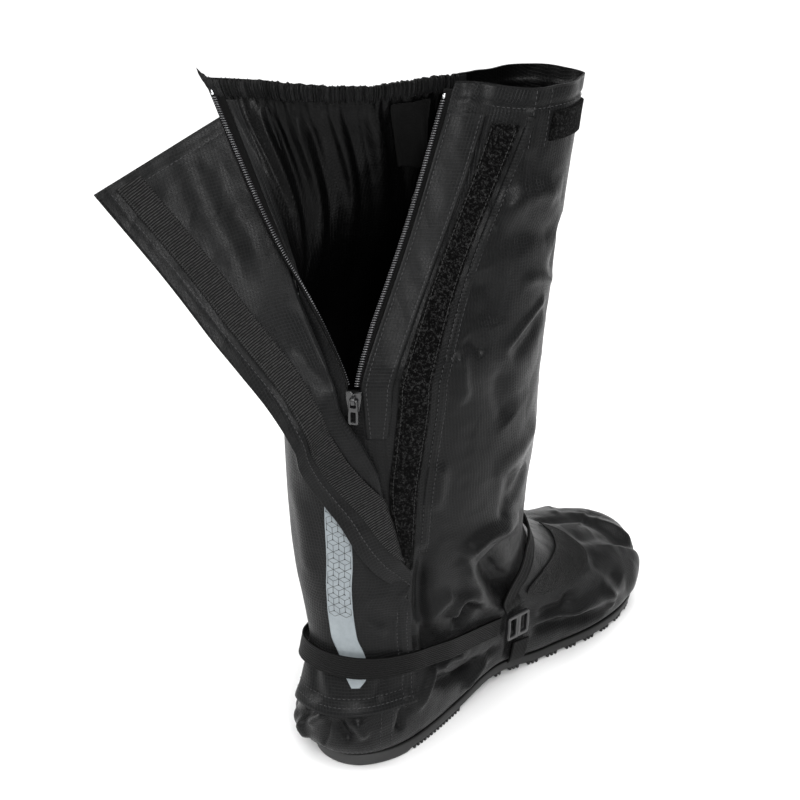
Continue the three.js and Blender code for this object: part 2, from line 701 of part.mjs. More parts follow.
// The same number of steps on each row: along the skin, round the roll and out to the free edge.
const flapSplit = [12, 4, 7];
const leastRoll = 3;
const leastFree = 7;
function flapRow(z) {
  const { path, rollFrom, rollTo } = flapPath(z);
  const run = [0];
  path.forEach((p, i) => {
    if (i > 0) run.push(run[i - 1] + p.distanceTo(path[i - 1]));
  });
  const total = run[run.length - 1];
  const rollEnd = Math.min(run[rollTo], total - leastFree);
  const rollStart = Math.min(run[rollFrom], rollEnd - leastRoll);
  const marks = [0, rollStart, rollEnd, total];
  const out = [];
  const pointAt = (s) => {
    let i = 0;
    while (i < run.length - 2 && run[i + 1] < s) i += 1;
    return path[i].clone().lerp(path[i + 1], (s - run[i]) / (run[i + 1] - run[i]));
  };
  flapSplit.forEach((count, part) => {
    for (let k = 0; k < count; k += 1) out.push(pointAt(lerp(marks[part], marks[part + 1], k / count)));
  });
  out.push(path[path.length - 1].clone());
  return out;
}

const flapSteps = flapSplit.reduce((a, b) => a + b);
const flapLevels = 20;
const flapRows = [];
for (let i = 0; i <= flapLevels; i += 1) flapRows.push(flapRow(lerp(flapHem, flapTop, i / flapLevels)));
// Point of the flap by row share, width share and distance from its inner face.
function flapPoint(s, t, depth) {
  const pick = (a, b) => {
    const i = clamp(a * flapLevels, 0, flapLevels);
    const j = clamp(b * flapSteps, 0, flapSteps);
    const i0 = Math.min(Math.floor(i), flapLevels - 1);
    const j0 = Math.min(Math.floor(j), flapSteps - 1);
    const low = flapRows[i0][j0].clone().lerp(flapRows[i0][j0 + 1], j - j0);
    const high = flapRows[i0 + 1][j0].clone().lerp(flapRows[i0 + 1][j0 + 1], j - j0);
    return low.lerp(high, i - i0);
  };
  const ds = 1 / flapLevels;
  const dt = 1 / flapSteps;
  return offsetPoint(pick(s, t), pick(s, t + dt), pick(s, t - dt), pick(s + ds, t), pick(s - ds, t), depth);
}
const flapPlace = (s, t, side) => flapPoint(s, t, side * flapThickness);
addMesh('rear_flap', sheetGeometry(flapPlace, flapLevels, flapSteps), 'nylon');

// Panels on the flap: rows of stage with the shares of its width that they run between.
function flapTape(rows, inner, thickness, stepsS, stepsT) {
  const keys = rows.map((row) => row[0]);
  const from = rows.map((row) => row[1]);
  const to = rows.map((row) => row[2]);
  const place = (s, t, side) => {
    const z = lerp(keys[0], keys[keys.length - 1], s);
    const across = lerp(smooth(keys, from, z), smooth(keys, to, z), t);
    return flapPoint((z - flapHem) / (flapTop - flapHem), across, inner + side * thickness);
  };
  return sheetGeometry(place, stepsS, stepsT);
}

// Hook tape on the inner face, beside the free edge.
const hookSeat = 0.95;
const HOOK_ROWS = rowsOf([
  [0.795, 0.720, 0.880],
  [0.908, 0.760, 0.895],
  [1.270, 0.800, 0.910],
  [1.804, 0.830, 0.930],
]);
addMesh('hook_strip', flapTape(HOOK_ROWS, -hookSeat - tapeThickness, tapeThickness, 22, 4), 'tape');

// Reflective stripe on the outer face, pointed at its lower end.
const STRIPE_ROWS = rowsOf([
  [0.237, 0.32, 0.37],
  [0.274, 0.26, 0.39],
  [0.336, 0.22, 0.34],
  [0.381, 0.19, 0.33],
  [0.477, 0.20, 0.33],
  [0.576, 0.24, 0.37],
  [0.698, 0.29, 0.40],
]);
const stripeSeat = flapThickness + layer;
addMesh('reflective_stripe', flapTape(STRIPE_ROWS, stripeSeat, trimThickness, 14, 3), 'reflective');

// Webbing along the body: rows of angle and height, with how far it stands off the skin.
function bandGeometry(rows, width, thickness, steps) {
  const keys = rows.map((row, i) => i);
  const angles = rows.map((row) => row[0]);
  const heights = rows.map((row) => row[1] * footHeight);
  const outs = rows.map((row) => row[2]);
  const centre = (s, extra) => {
    const k = clamp(s, 0, 1) * (rows.length - 1);
    return skinByAngle(smooth(keys, heights, k), smooth(keys, angles, k), smooth(keys, outs, k) + extra);
  };
  const place = (s, t, side) => {
    const middle = centre(s, 0);
    const normal = new THREE.Vector3().subVectors(centre(s, 1), middle).normalize();
    const along = new THREE.Vector3().subVectors(centre(s + 0.01, 0), centre(s - 0.01, 0)).normalize();
    const across = new THREE.Vector3().crossVectors(normal, along).normalize();
    return middle.addScaledVector(across, (t - 0.5) * width).addScaledVector(normal, side * thickness);
  };
  return sheetGeometry(place, steps, 2);
}

// Over the flap the strap lies on its outer face and the stripe; elsewhere it comes down to the skin.
const overFlap = flapSeat + flapThickness + 3 * layer + trimThickness;
const onSkin = 2 * layer;
const ANKLE_ROWS = [
  [-81, 0.26, onSkin],
  [-70, 0.45, onSkin],
  [-50, 0.66, onSkin],
  [-24, 0.77, overFlap],
  [0, 0.795, overFlap],
  [21, 0.785, overFlap],
  [34, 0.77, overFlap],
  [49, 0.745, overFlap],
  [61, 0.70, overFlap],
  [73, 0.62, 2 * onSkin],
  [82, 0.56, onSkin],
];
addMesh('ankle_strap', bandGeometry(ANKLE_ROWS, strapWidth, strapThickness, 40), 'webbing');

const INSTEP_ROWS = [
  [92, 0.70, 1.6 * onSkin],
  [97, 0.80, 1.6 * onSkin],
  [108, 0.90, 1.6 * onSkin],
  [125, 0.99, 1.6 * onSkin],
  [145, 1.06, 1.6 * onSkin],
  [180, 1.12, 1.6 * onSkin],
  [215, 1.06, 1.6 * onSkin],
  [235, 0.97, 1.6 * onSkin],
  [252, 0.80, 1.6 * onSkin],
  [262, 0.55, 1.6 * onSkin],
  [266, 0.30, 1.6 * onSkin],
];
addMesh('instep_strap', bandGeometry(INSTEP_ROWS, strapWidth, strapThickness, 36), 'webbing');

const ANCHOR_ROWS = [
  [88.5, 0.34, onSkin],
  [88.0, 0.25, onSkin],
  [87.5, 0.17, onSkin],
];
addMesh('anchor_tab', bandGeometry(ANCHOR_ROWS, strapWidth, strapThickness, 5), 'webbing');

// Buckle: a flat frame with two openings and a bar between them, where the three straps meet.
const buckleAngle = 87.5;
const buckleLevel = 0.50;
const buckleSeat = skinByAngle(buckleLevel * footHeight, buckleAngle, onSkin);
const buckleOut = new THREE.Vector3()
  .subVectors(skinByAngle(buckleLevel * footHeight, buckleAngle, onSkin + 1), buckleSeat).normalize();
const buckleSide = new THREE.Vector3()
  .subVectors(skinByAngle(buckleLevel * footHeight, buckleAngle + 2, onSkin), buckleSeat);
const buckleUp = new THREE.Vector3().crossVectors(buckleOut, buckleSide).normalize();
const buckleAlong = new THREE.Vector3().crossVectors(buckleUp, buckleOut);
const buckleFrame = new THREE.Group();
buckleFrame.position.copy(buckleSeat).addScaledVector(buckleOut, buckleThickness / 2);
buckleFrame.quaternion.setFromRotationMatrix(new THREE.Matrix4().makeBasis(buckleAlong, buckleUp, buckleOut));
group.add(buckleFrame);

function buckleGeometry() {
  const frame = block(buckleLength, buckleWidth, buckleThickness, 0, 0, 0);
  const opening = (buckleLength - 3 * buckleBar) / 2;
  const reach = (opening + buckleBar) / 2;
  const hole = (x) => block(opening, buckleWidth - 2 * buckleBar, buckleThickness + 1, x, 0, 0);
  return fromManifold(frame.subtract(hole(-reach)).subtract(hole(reach)));
}
addMesh('ankle_buckle', buckleGeometry(), 'zip', buckleFrame);

// Wear patch on the instep: rows of the body's stations with the angles it runs between.
const PATCH_ROWS = [
  [4.45, 106, 116],
  [4.65, 102, 125],
  [5.05, 100, 137],
  [5.55, 103, 150],
  [5.95, 110, 166],
  [6.25, 122, 176],
];
function patchGeometry() {
  const keys = PATCH_ROWS.map((row) => row[0]);
  const from = PATCH_ROWS.map((row) => row[1]);
  const to = PATCH_ROWS.map((row) => row[2]);
  const place = (s, t, side) => {
    const v = lerp(keys[0], keys[keys.length - 1], s);
    const angle = lerp(smooth(keys, from, v), smooth(keys, to, v), t);
    return footSkin(v, angle, layer + side * trimThickness);
  };
  return sheetGeometry(place, 8, 10);
}
addMesh('instep_patch', patchGeometry(), 'patch');

export default group;
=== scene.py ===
import math

import bpy
import numpy as np
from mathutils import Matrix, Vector


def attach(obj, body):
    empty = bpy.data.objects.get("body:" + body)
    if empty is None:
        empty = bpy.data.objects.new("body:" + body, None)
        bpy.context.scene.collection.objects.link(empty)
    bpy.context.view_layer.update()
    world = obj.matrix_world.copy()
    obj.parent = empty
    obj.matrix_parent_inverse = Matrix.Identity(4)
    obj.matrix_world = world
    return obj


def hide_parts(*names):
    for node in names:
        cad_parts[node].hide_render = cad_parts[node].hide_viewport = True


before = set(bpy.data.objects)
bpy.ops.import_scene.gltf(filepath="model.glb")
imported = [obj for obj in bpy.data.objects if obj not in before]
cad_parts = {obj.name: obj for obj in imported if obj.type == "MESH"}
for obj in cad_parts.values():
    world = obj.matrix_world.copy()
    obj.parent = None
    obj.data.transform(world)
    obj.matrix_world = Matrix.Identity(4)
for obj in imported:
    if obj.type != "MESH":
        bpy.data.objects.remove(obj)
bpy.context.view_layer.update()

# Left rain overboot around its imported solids. The shape functions repeat part.mjs, in millimetres.
MM = 0.001

SOLE_LENGTH = 315.0
HEEL_REACH = 37.0
BALL_WIDTH = 105.0
FOOT_HEIGHT = 100.0
SLIDER_HEIGHT = 262.0
SHAFT_HEIGHT = 425.0
SHAFT_DEPTH = 164.0
WALL = 1.2
PLATE = 5.4
LUG_HEIGHT = 4.0
ARCH_RISE = 5.0
TOE_SPRING = 7.0
SOLE_INSET = 1.5
SEAT = 0.3
LAYER = 0.8
TUNNEL_HEIGHT = 10.0
ZIP_ANGLE = 46.0
ZIP_GAP = 3.0
FLAP_HEM = 47.0
FLAP_TOP = 410.0
FLAP_THICKNESS = 0.9
FLAP_SEAT = 2.4
TAPE_THICKNESS = 1.4
STRAP_WIDTH = 14.0
STRAP_THICKNESS = 1.3

# Rows of the closed body: levels of the heights, y of the sole's length, half-widths of the ball width.
BODY_COLUMNS = ("back", "front", "y_back", "y_front", "medial", "lateral", "foot", "turn", "middle")
BODY_ROWS = (
    (0.102, 0.102, 0.000, 0.995, 0.500, 0.500, 1.00, 0, 0.00),
    (0.150, 0.145, -0.028, 1.005, 0.535, 0.540, 0.97, 0, 0.00),
    (0.240, 0.220, -0.044, 1.013, 0.550, 0.565, 0.93, 0, 0.00),
    (0.420, 0.390, -0.044, 0.997, 0.550, 0.570, 0.85, 0, 0.00),
    (0.580, 0.535, -0.028, 0.937, 0.524, 0.552, 0.70, 0, -0.01),
    (0.720, 0.640, -0.010, 0.835, 0.495, 0.535, 0.50, 0, -0.02),
    (0.860, 0.740, 0.000, 0.727, 0.476, 0.514, 0.32, 0, -0.02),
    (1.012, 0.880, 0.000, 0.632, 0.476, 0.514, 0.15, 2, -0.02),
    (1.136, 1.062, -0.003, 0.556, 0.495, 0.524, 0.05, 5, -0.02),
    (1.296, 1.259, -0.003, 0.530, 0.514, 0.524, 0.00, 12, -0.01),
    (1.586, 1.574, 0.000, 0.523, 0.524, 0.524, 0.00, 20, 0.00),
    (2.000, 2.000, 0.003, 0.523, 0.524, 0.524, 0.00, 27, 0.01),
)

# Sole outline beside an ellipse: along, medial, lateral
OUTLINE_ROWS = np.array((
    (0.00, 1.30, 1.30),
    (0.04, 1.15, 1.13),
    (0.10, 1.02, 1.00),
    (0.20, 0.81, 0.83),
    (0.32, 0.64, 0.74),
    (0.45, 0.62, 0.78),
    (0.58, 0.80, 0.92),
    (0.70, 1.06, 1.07),
    (0.80, 1.25, 1.17),
    (0.89, 1.39, 1.20),
    (0.96, 1.42, 1.10),
    (1.00, 1.40, 1.05),
))

# Collar and the loop half way up the opening: x and y in shares of the shaft's depth
COLLAR_ROWS = np.array((
    (0.067, 0.409),
    (0.134, 0.457),
    (0.250, 0.476),
    (0.348, 0.530),
    (0.384, 0.659),
    (0.348, 0.787),
    (0.220, 0.817),
    (0.098, 0.756),
    (0.030, 0.561),
    (-0.055, 0.335),
    (-0.122, 0.165),
    (-0.293, 0.043),
    (-0.488, -0.030),
    (-0.622, -0.110),
))
MIDDLE_ROWS = np.array((
    (0.078, 0.154),
    (0.155, 0.214),
    (0.265, 0.288),
    (0.348, 0.389),
    (0.382, 0.544),
    (0.350, 0.688),
    (0.244, 0.758),
    (0.120, 0.751),
    (-0.023, 0.616),
    (-0.159, 0.402),
    (-0.213, 0.232),
    (-0.274, 0.073),
    (-0.311, -0.043),
    (-0.311, -0.140),
))
MIDDLE_RISE = 0.48
OPENING_EASE = 0.06

body = {name: np.array([row[i] for row in BODY_ROWS], float) for i, name in enumerate(BODY_COLUMNS)}
LAST_ROW = len(BODY_ROWS) - 1


def smooth(keys, values, x):
    """Smooth value of a column at x; values may have a second axis that runs beside x."""
    keys = np.asarray(keys, float)
    values = np.asarray(values, float)
    x = np.asarray(x, float)
    last = len(keys) - 1
    i = np.searchsorted(keys[1:last], x, side="left")
    k = np.arange(last + 1)
    low = np.maximum(k - 1, 0)
    high = np.minimum(k + 1, last)
    span = keys[high] - keys[low]
    if values.ndim == 1:
        slopes = (values[high] - values[low]) / span
        a, b, ma, mb = values[i], values[i + 1], slopes[i], slopes[i + 1]
    else:
        slopes = (values[high] - values[low]) / span[:, None]
        col = np.arange(values.shape[1])
        a, b, ma, mb = values[i, col], values[i + 1, col], slopes[i, col], slopes[i + 1, col]
    h = keys[i + 1] - keys[i]
    s = np.clip((x - keys[i]) / h, 0, 1)
    s2 = s * s
    s3 = s2 * s
    return (2 * s3 - 3 * s2 + 1) * a + (s3 - 2 * s2 + s) * h * ma + (3 * s2 - 2 * s3) * b + (s3 - s2) * h * mb


def run_along(line):
    """Length along a line at each of its points."""
    return np.concatenate([[0], np.cumsum(np.linalg.norm(np.diff(line, axis=0), axis=1))])


def read_line(at, run, line):
    """Points of a line at lengths along it."""
    return np.stack([np.interp(at, run, line[:, axis]) for axis in range(3)], -1)


def height_of(level):
    return np.where(level <= 1, level * FOOT_HEIGHT, FOOT_HEIGHT + (level - 1) * (SLIDER_HEIGHT - FOOT_HEIGHT))


def stage_height(stage):
    stage = np.asarray(stage, float)
    above = SLIDER_HEIGHT + (stage - 1) * (SHAFT_HEIGHT - SLIDER_HEIGHT)
    return np.where(stage <= 1, stage * SLIDER_HEIGHT, above)


def y_of(share):
    return -HEEL_REACH + share * SOLE_LENGTH


def sole_rise(y):
    s = np.clip((y + HEEL_REACH) / SOLE_LENGTH, 0, 1)
    arch = ARCH_RISE * np.sin(np.pi * np.clip((s - 0.28) / 0.28, 0, 1)) ** 2
    return arch + TOE_SPRING * np.clip((s - 0.78) / 0.22, 0, 1) ** 2


def fullness(t, medial_side):
    medial = smooth(OUTLINE_ROWS[:, 0], OUTLINE_ROWS[:, 1], t)
    lateral = smooth(OUTLINE_ROWS[:, 0], OUTLINE_ROWS[:, 2], t)
    return np.where(medial_side, medial, lateral)


def closed_point(v, angle):
    """Points of the closed body by row station and angle: 0 back, 90 medial, 180 front."""
    v, angle = np.broadcast_arrays(np.asarray(v, float), np.asarray(angle, float))
    keys = np.arange(LAST_ROW + 1.0)
    at = {name: smooth(keys, body[name], v) for name in BODY_COLUMNS}
    th = np.radians(angle)
    t = (1 - np.cos(th)) / 2
    side = np.sin(th)
    full = 1 + (fullness(t, side >= 0) - 1) * at["foot"]
    across = np.where(side >= 0, at["medial"], at["lateral"]) * BALL_WIDTH * full * side
    back = y_of(at["y_back"])
    front = y_of(at["y_front"])
    centre = (back + front) / 2
    along = back + (front - back) * t - centre
    turn = -np.radians(at["turn"])
    x = at["middle"] * BALL_WIDTH + across * np.cos(turn) - along * np.sin(turn)
    y = centre + across * np.sin(turn) + along * np.cos(turn)
    low = height_of(at["back"])
    z = low + (height_of(at["front"]) - low) * t
    z = z + sole_rise(y) * np.clip(at["foot"], 0, 1) ** 3
    return np.stack([x, y, z], -1)


def station_at(angle, z):
    angle, z = np.broadcast_arrays(np.asarray(angle, float), np.asarray(z, float))
    low = np.zeros(z.shape)
    high = np.full(z.shape, float(LAST_ROW))
    for _ in range(22):
        mid = (low + high) / 2
        below = closed_point(mid, angle)[..., 2] < z
        low = np.where(below, mid, low)
        high = np.where(below, high, mid)
    return (low + high) / 2


collar_run = run_along(COLLAR_ROWS)
COLLAR_GIRTH = collar_run[-1]


def angle_at(u):
    return ZIP_ANGLE + ZIP_GAP + (360 - 2 * ZIP_GAP) * np.asarray(u, float)


def u_at(angle):
    return (np.asarray(angle, float) - ZIP_ANGLE - ZIP_GAP) / (360 - 2 * ZIP_GAP)


def open_point(z, u):
    """Points of the shaft above the slider: u runs from the medial zip edge round to the other one."""
    z, u = np.broadcast_arrays(np.asarray(z, float), np.asarray(u, float))
    shape = z.shape
    z = z.ravel()
    u = u.ravel()
    rise = np.clip((z - SLIDER_HEIGHT) / (SHAFT_HEIGHT - SLIDER_HEIGHT), 0, 1)
    below = closed_point(float(LAST_ROW), angle_at(u))
    s = u * COLLAR_GIRTH
    eased = rise * rise * (1 + OPENING_EASE) / (rise + OPENING_EASE)
    out = []
    for axis in (0, 1):
        middle = smooth(collar_run, MIDDLE_ROWS[:, axis], s) * SHAFT_DEPTH
        top = smooth(collar_run, COLLAR_ROWS[:, axis], s) * SHAFT_DEPTH
        out.append(smooth((0, MIDDLE_RISE, 1), np.stack([below[:, axis], middle, top]), eased))
    return np.stack([out[0], out[1], z], -1).reshape(shape + (3,))


def unit(a):
    return a / np.maximum(np.linalg.norm(a, axis=-1, keepdims=True), 1e-9)


def foot_base(v, angle):
    """Point and outward normal on the closed body."""
    dv = 0.05
    turn = 1.5
    v = np.asarray(v)
    angle = np.asarray(angle)
    across = closed_point(v, angle + turn) - closed_point(v, angle - turn)
    above = closed_point(np.minimum(v + dv, LAST_ROW), angle)
    up = above - closed_point(np.maximum(v - dv, 0), angle)
    return closed_point(v, angle), unit(np.cross(across, up))


def open_base(z, u):
    """Point and outward normal on the shaft above the slider."""
    du = 0.004
    dz = 0.8
    z = np.asarray(z, float)
    u = np.asarray(u, float)
    across = open_point(z, np.minimum(u + du, 1)) - open_point(z, np.maximum(u - du, 0))
    above = open_point(np.minimum(z + dz, SHAFT_HEIGHT), u)
    up = above - open_point(np.maximum(z - dz, SLIDER_HEIGHT + 0.01), u)
    return open_point(z, u), unit(np.cross(across, up))


def skin_base(z, u):
    """Point and outward normal of the whole upper by height and u."""
    z, u = np.broadcast_arrays(np.asarray(z, float), np.asarray(u, float))
    shape = z.shape
    z = z.ravel()
    u = u.ravel()
    is_open = z > SLIDER_HEIGHT
    point = np.zeros((len(z), 3))
    normal = np.zeros((len(z), 3))
    if is_open.any():
        point[is_open], normal[is_open] = open_base(z[is_open], u[is_open])
    shut = ~is_open
    if shut.any():
        angle = angle_at(u[shut])
        point[shut], normal[shut] = foot_base(station_at(angle, z[shut]), angle)
    return point.reshape(shape + (3,)), normal.reshape(shape + (3,))


def place_base(s, angle):
    """Point and normal by station: 0 to 11 on the closed body, 11 to 12 on the opened shaft."""
    s, angle = np.broadcast_arrays(np.asarray(s, float), np.asarray(angle, float))
    shape = s.shape
    s = s.ravel()
    angle = angle.ravel()
    point = np.zeros((len(s), 3))
    normal = np.zeros((len(s), 3))
    shut = s <= LAST_ROW
    if shut.any():
        point[shut], normal[shut] = foot_base(s[shut], angle[shut])
    opened = ~shut
    if opened.any():
        z = SLIDER_HEIGHT + (s[opened] - LAST_ROW) * (SHAFT_HEIGHT - SLIDER_HEIGHT)
        point[opened], normal[opened] = open_base(z, u_at(angle[opened]))
    return point.reshape(shape + (3,)), normal.reshape(shape + (3,))


def station_of(z, angle):
    """Station by height, on the whole upper."""
    z, angle = np.broadcast_arrays(np.asarray(z, float), np.asarray(angle, float))
    above = LAST_ROW + (z - SLIDER_HEIGHT) / (SHAFT_HEIGHT - SLIDER_HEIGHT)
    return np.where(z > SLIDER_HEIGHT, above, station_at(angle, np.minimum(z, SLIDER_HEIGHT)))


def ease(x):
    x = np.clip(x, 0, 1)
    return x * x * (3 - 2 * x)


def value_noise(p, size, seed):
    """Smooth noise from -1 to 1 over points in millimetres."""
    q = np.asarray(p, float) / size
    cell = np.floor(q).astype(np.int64)
    f = q - cell
    f = f * f * (3 - 2 * f)
    out = np.zeros(q.shape[:-1])
    for corner in range(8):
        dx, dy, dz = corner & 1, corner >> 1 & 1, corner >> 2 & 1
        k = (cell[..., 0] + dx) * 73856093 ^ (cell[..., 1] + dy) * 19349663 ^ (cell[..., 2] + dz) * 83492791
        k = (k ^ seed * 2654435761) & 0xFFFFFFFF
        k = (k ^ k >> 13) * 1274126177 & 0xFFFFFFFF
        k = (k ^ k >> 16) & 0xFFFF
        weight = np.where(dx, f[..., 0], 1 - f[..., 0])
        weight = weight * np.where(dy, f[..., 1], 1 - f[..., 1]) * np.where(dz, f[..., 2], 1 - f[..., 2])
        out += weight * (k / 32767.5 - 1)
    return out


# Folds of the upper: depth and width in mm (above 0 a ridge), then stations and angles along each.
ANKLE_FOLDS = (
    # The large fold over the ankle, with the hollow that it closes round
    (4.2, 6.0, ((8.87, 86), (9.04, 94), (9.11, 105), (8.95, 128))),
    (3.4, 5.5, ((8.87, 86), (8.28, 88), (7.40, 91), (6.19, 90), (4.40, 87))),
    (-6.0, 8.5, ((8.70, 100), (7.67, 101), (5.34, 91))),
    (-1.4, 1.8, ((8.24, 105), (7.80, 107), (7.24, 107))),
    # The dome beside it, above the strap
    (3.4, 4.5, ((6.60, 70), (6.88, 73), (7.40, 78), (7.55, 84), (6.98, 86), (5.62, 86))),
    (-4.2, 6.0, ((5.40, 70), (6.52, 77), (6.56, 83))),
    (2.8, 7.0, ((6.03, 52), (7.14, 63), (7.64, 72), (7.90, 79))),
    (-4.0, 5.0, ((9.33, 70), (8.51, 65), (7.40, 60), (5.60, 56), (4.20, 54))),
    (1.5, 5.0, ((10.29, 82), (10.04, 80), (9.72, 77))),
    (-1.8, 6.0, ((9.91, 121), (9.51, 117), (9.21, 113))),
)
ARCH_FOLDS = (
    # Gathers that run down from the buckle to the heel
    (-4.6, 4.6, ((3.39, 54), (2.86, 61), (2.67, 68), (2.62, 75))),
    (2.6, 4.0, ((3.64, 57), (3.92, 61), (3.44, 71))),
    (2.6, 3.6, ((2.45, 48), (3.11, 51), (3.66, 54), (4.26, 56))),
    (-3.2, 2.8, ((3.08, 402), (2.58, 401), (2.13, 399))),
    (-2.6, 3.2, ((2.53, 82), (2.53, 75), (2.62, 65))),
    (2.2, 4.2, ((2.54, 79), (2.05, 72), (1.74, 68))),
    (-1.5, 2.0, ((3.30, 84), (2.30, 85), (1.60, 84))),
)
TOE_FOLDS = (
    # Long hollow above the sole, and the panel over the toes
    (-3.8, 4.6, ((2.54, 92), (2.47, 101), (1.81, 118))),
    (2.0, 4.0, ((3.10, 93), (2.95, 103), (2.39, 120))),
    (-2.8, 4.2, ((3.44, 95), (3.26, 100), (3.30, 104), (4.02, 108))),
    (2.4, 4.4, ((3.31, 118), (2.35, 120), (2.09, 118))),
    (-2.2, 6.0, ((4.80, 131), (3.91, 127), (2.82, 127))),
    (-1.8, 4.5, ((6.20, 185), (5.66, 177), (4.92, 173), (4.40, 171))),
    (-1.6, 6.5, ((5.52, 151), (4.92, 151), (4.26, 155))),
    (1.8, 5.0, ((2.62, 101), (2.93, 112), (2.39, 129))),
    (2.0, 6.0, ((5.20, 190), (4.40, 176), (3.40, 160), (2.60, 150))),
    (-2.4, 5.0, ((5.30, 215), (4.30, 212), (3.20, 216))),
    (-2.6, 5.0, ((4.60, 246), (3.20, 244), (2.10, 240))),
    (2.2, 5.0, ((5.00, 232), (3.80, 230), (2.60, 228))),
    # The flattened front of the toe and the corner beside it
    (-4.6, 20.0, ((4.40, 178), (4.15, 165), (3.80, 153), (3.30, 144))),
    (-2.4, 18.0, ((4.50, 200), (4.40, 186), (4.20, 172))),
    (1.8, 11.0, ((2.75, 148), (2.50, 139), (2.25, 130))),
)
HEEL_FOLDS = (
    # Puckers of the heel pocket under the flap's hem
    (-1.6, 1.7, ((3.31, 368), (2.62, 367), (1.67, 363))),
    (-3.6, 4.0, ((2.18, 340), (3.01, 356), (3.48, 362))),
    (2.6, 3.6, ((2.53, 355), (2.99, 361), (3.34, 367))),
    (-2.6, 3.2, ((3.18, 372), (2.62, 376), (2.31, 380))),
    (1.9, 3.2, ((3.11, 381), (2.70, 383), (2.34, 386))),
    (2.0, 4.0, ((2.60, 345), (2.00, 350), (1.50, 352))),
    (-1.8, 3.0, ((3.30, 330), (2.60, 334), (1.90, 336))),
    (-2.2, 4.0, ((3.60, 318), (2.60, 322), (1.80, 322))),
    (3.0, 8.0, ((1.90, 290), (2.10, 320), (2.00, 352))),
)
LEG_FOLDS = (
    # The long crease down the medial side of the leg, with dents on both sides of it
    (1.5, 3.2, ((11.22, 140), (11.19, 133), (11.14, 122), (11.07, 113))),
    (-2.0, 6.0, ((11.15, 142), (11.10, 132), (11.03, 118))),
    (-1.6, 6.0, ((11.50, 152), (11.40, 147), (11.28, 140))),
    (1.5, 4.5, ((11.32, 115), (11.31, 130), (11.26, 150))),
    (-2.6, 8.0, ((11.05, 114), (10.78, 113), (10.49, 119))),
    (2.2, 4.5, ((11.11, 87), (11.04, 93), (10.79, 94))),
    (-1.6, 3.0, ((11.16, 91), (11.13, 96), (11.09, 102))),
    (-2.2, 8.0, ((11.39, 90), (11.28, 99), (11.19, 101))),
    (-1.2, 4.0, ((11.79, 104), (11.72, 108), (11.64, 113))),
    (2.2, 7.0, ((11.56, 91), (11.63, 111), (11.61, 137))),
    (-2.2, 8.0, ((11.49, 96), (11.49, 118), (11.43, 142))),
    (-2.0, 7.0, ((9.77, 138), (9.60, 127), (9.39, 121))),
    (1.8, 8.0, ((10.30, 150), (10.10, 128), (10.00, 108))),
)
FAR_FOLDS = (
    # The sides that the photograph doesn't show, in the same manner
    (-4.0, 9.0, ((8.60, 262), (7.20, 266), (5.40, 268))),
    (3.2, 6.0, ((9.00, 246), (8.30, 268), (7.60, 290))),
    (3.0, 6.0, ((7.60, 300), (6.60, 288), (5.20, 276))),
    (-3.0, 6.0, ((8.70, 300), (7.40, 306), (6.00, 300))),
    (-1.2, 6.0, ((9.30, 176), (8.80, 196), (8.60, 216))),
    (2.6, 6.0, ((9.70, 200), (9.20, 182), (8.90, 160))),
    (-2.4, 8.0, ((11.60, 222), (11.20, 236), (10.60, 240))),
    (2.2, 5.0, ((11.30, 250), (10.90, 232), (10.40, 214))),
    (-2.4, 7.0, ((10.50, 282), (10.00, 268), (9.60, 250))),
    (2.0, 5.0, ((11.40, 300), (11.00, 286), (10.50, 280))),
    (-2.6, 5.0, ((2.90, 276), (2.30, 262), (2.10, 248))),
    (2.2, 4.5, ((3.60, 290), (2.90, 284), (2.30, 290))),
    (-2.2, 4.5, ((3.20, 306), (2.50, 300), (1.90, 292))),
)
FOOT_GAIN = 1.7
LEG_GAIN = 1.5
FAR_GAIN = 1.0
FOLDS = [(FOOT_GAIN * depth, width, marks) for depth, width, marks in
         ANKLE_FOLDS + ARCH_FOLDS + TOE_FOLDS + HEEL_FOLDS]
FOLDS += [(LEG_GAIN * depth, width, marks) for depth, width, marks in LEG_FOLDS]
FOLDS += [(FAR_GAIN * depth, width, marks) for depth, width, marks in FAR_FOLDS]


def fold_lines():
    lines = []
    for depth, width, marks in FOLDS:
        marks = np.array(marks, float)
        steps = np.linspace(0, len(marks) - 1, 8 * (len(marks) - 1) + 1)
        keys = np.arange(float(len(marks)))
        line = place_base(smooth(keys, marks[:, 0], steps), smooth(keys, marks[:, 1], steps))[0]
        lines.append((depth, width, line))
    return lines


fold_paths = fold_lines()


def nearest(points, line):
    """Distance from each point to a line, and the share of the line where it comes nearest."""
    best = np.full(points.shape[:-1], 1e9)
    share = np.zeros(points.shape[:-1])
    count = len(line) - 1
    for k in range(count):
        step = line[k + 1] - line[k]
        t = np.clip((points - line[k]) @ step / max(step @ step, 1e-9), 0, 1)
        gap = np.linalg.norm(points - line[k] - t[..., None] * step, axis=-1)
        closer = gap < best
        best = np.where(closer, gap, best)
        share = np.where(closer, (k + t) / count, share)
    return best, share


def ends(share, part):
    """0 at both ends of a line and 1 between them, eased over that part of it."""
    return ease(share / part) * ease((1 - share) / part)


def folds_at(points):
    """Sum of the folds at points on the skin, by their distance to each fold's line."""
    flat = points.reshape(-1, 3)
    total = np.zeros(len(flat))
    for depth, width, line in fold_paths:
        reach = 2.6 * width
        near = np.all((flat > line.min(0) - reach) & (flat < line.max(0) + reach), axis=1)
        if not near.any():
            continue
        gap, share = nearest(flat[near], line)
        taper = 0.75 * ends(share, 0.25) + 0.25 * ends(share, 0.06)
        total[near] += depth * np.exp(-(gap / width) ** 2) * taper
    return total.reshape(points.shape[:-1])


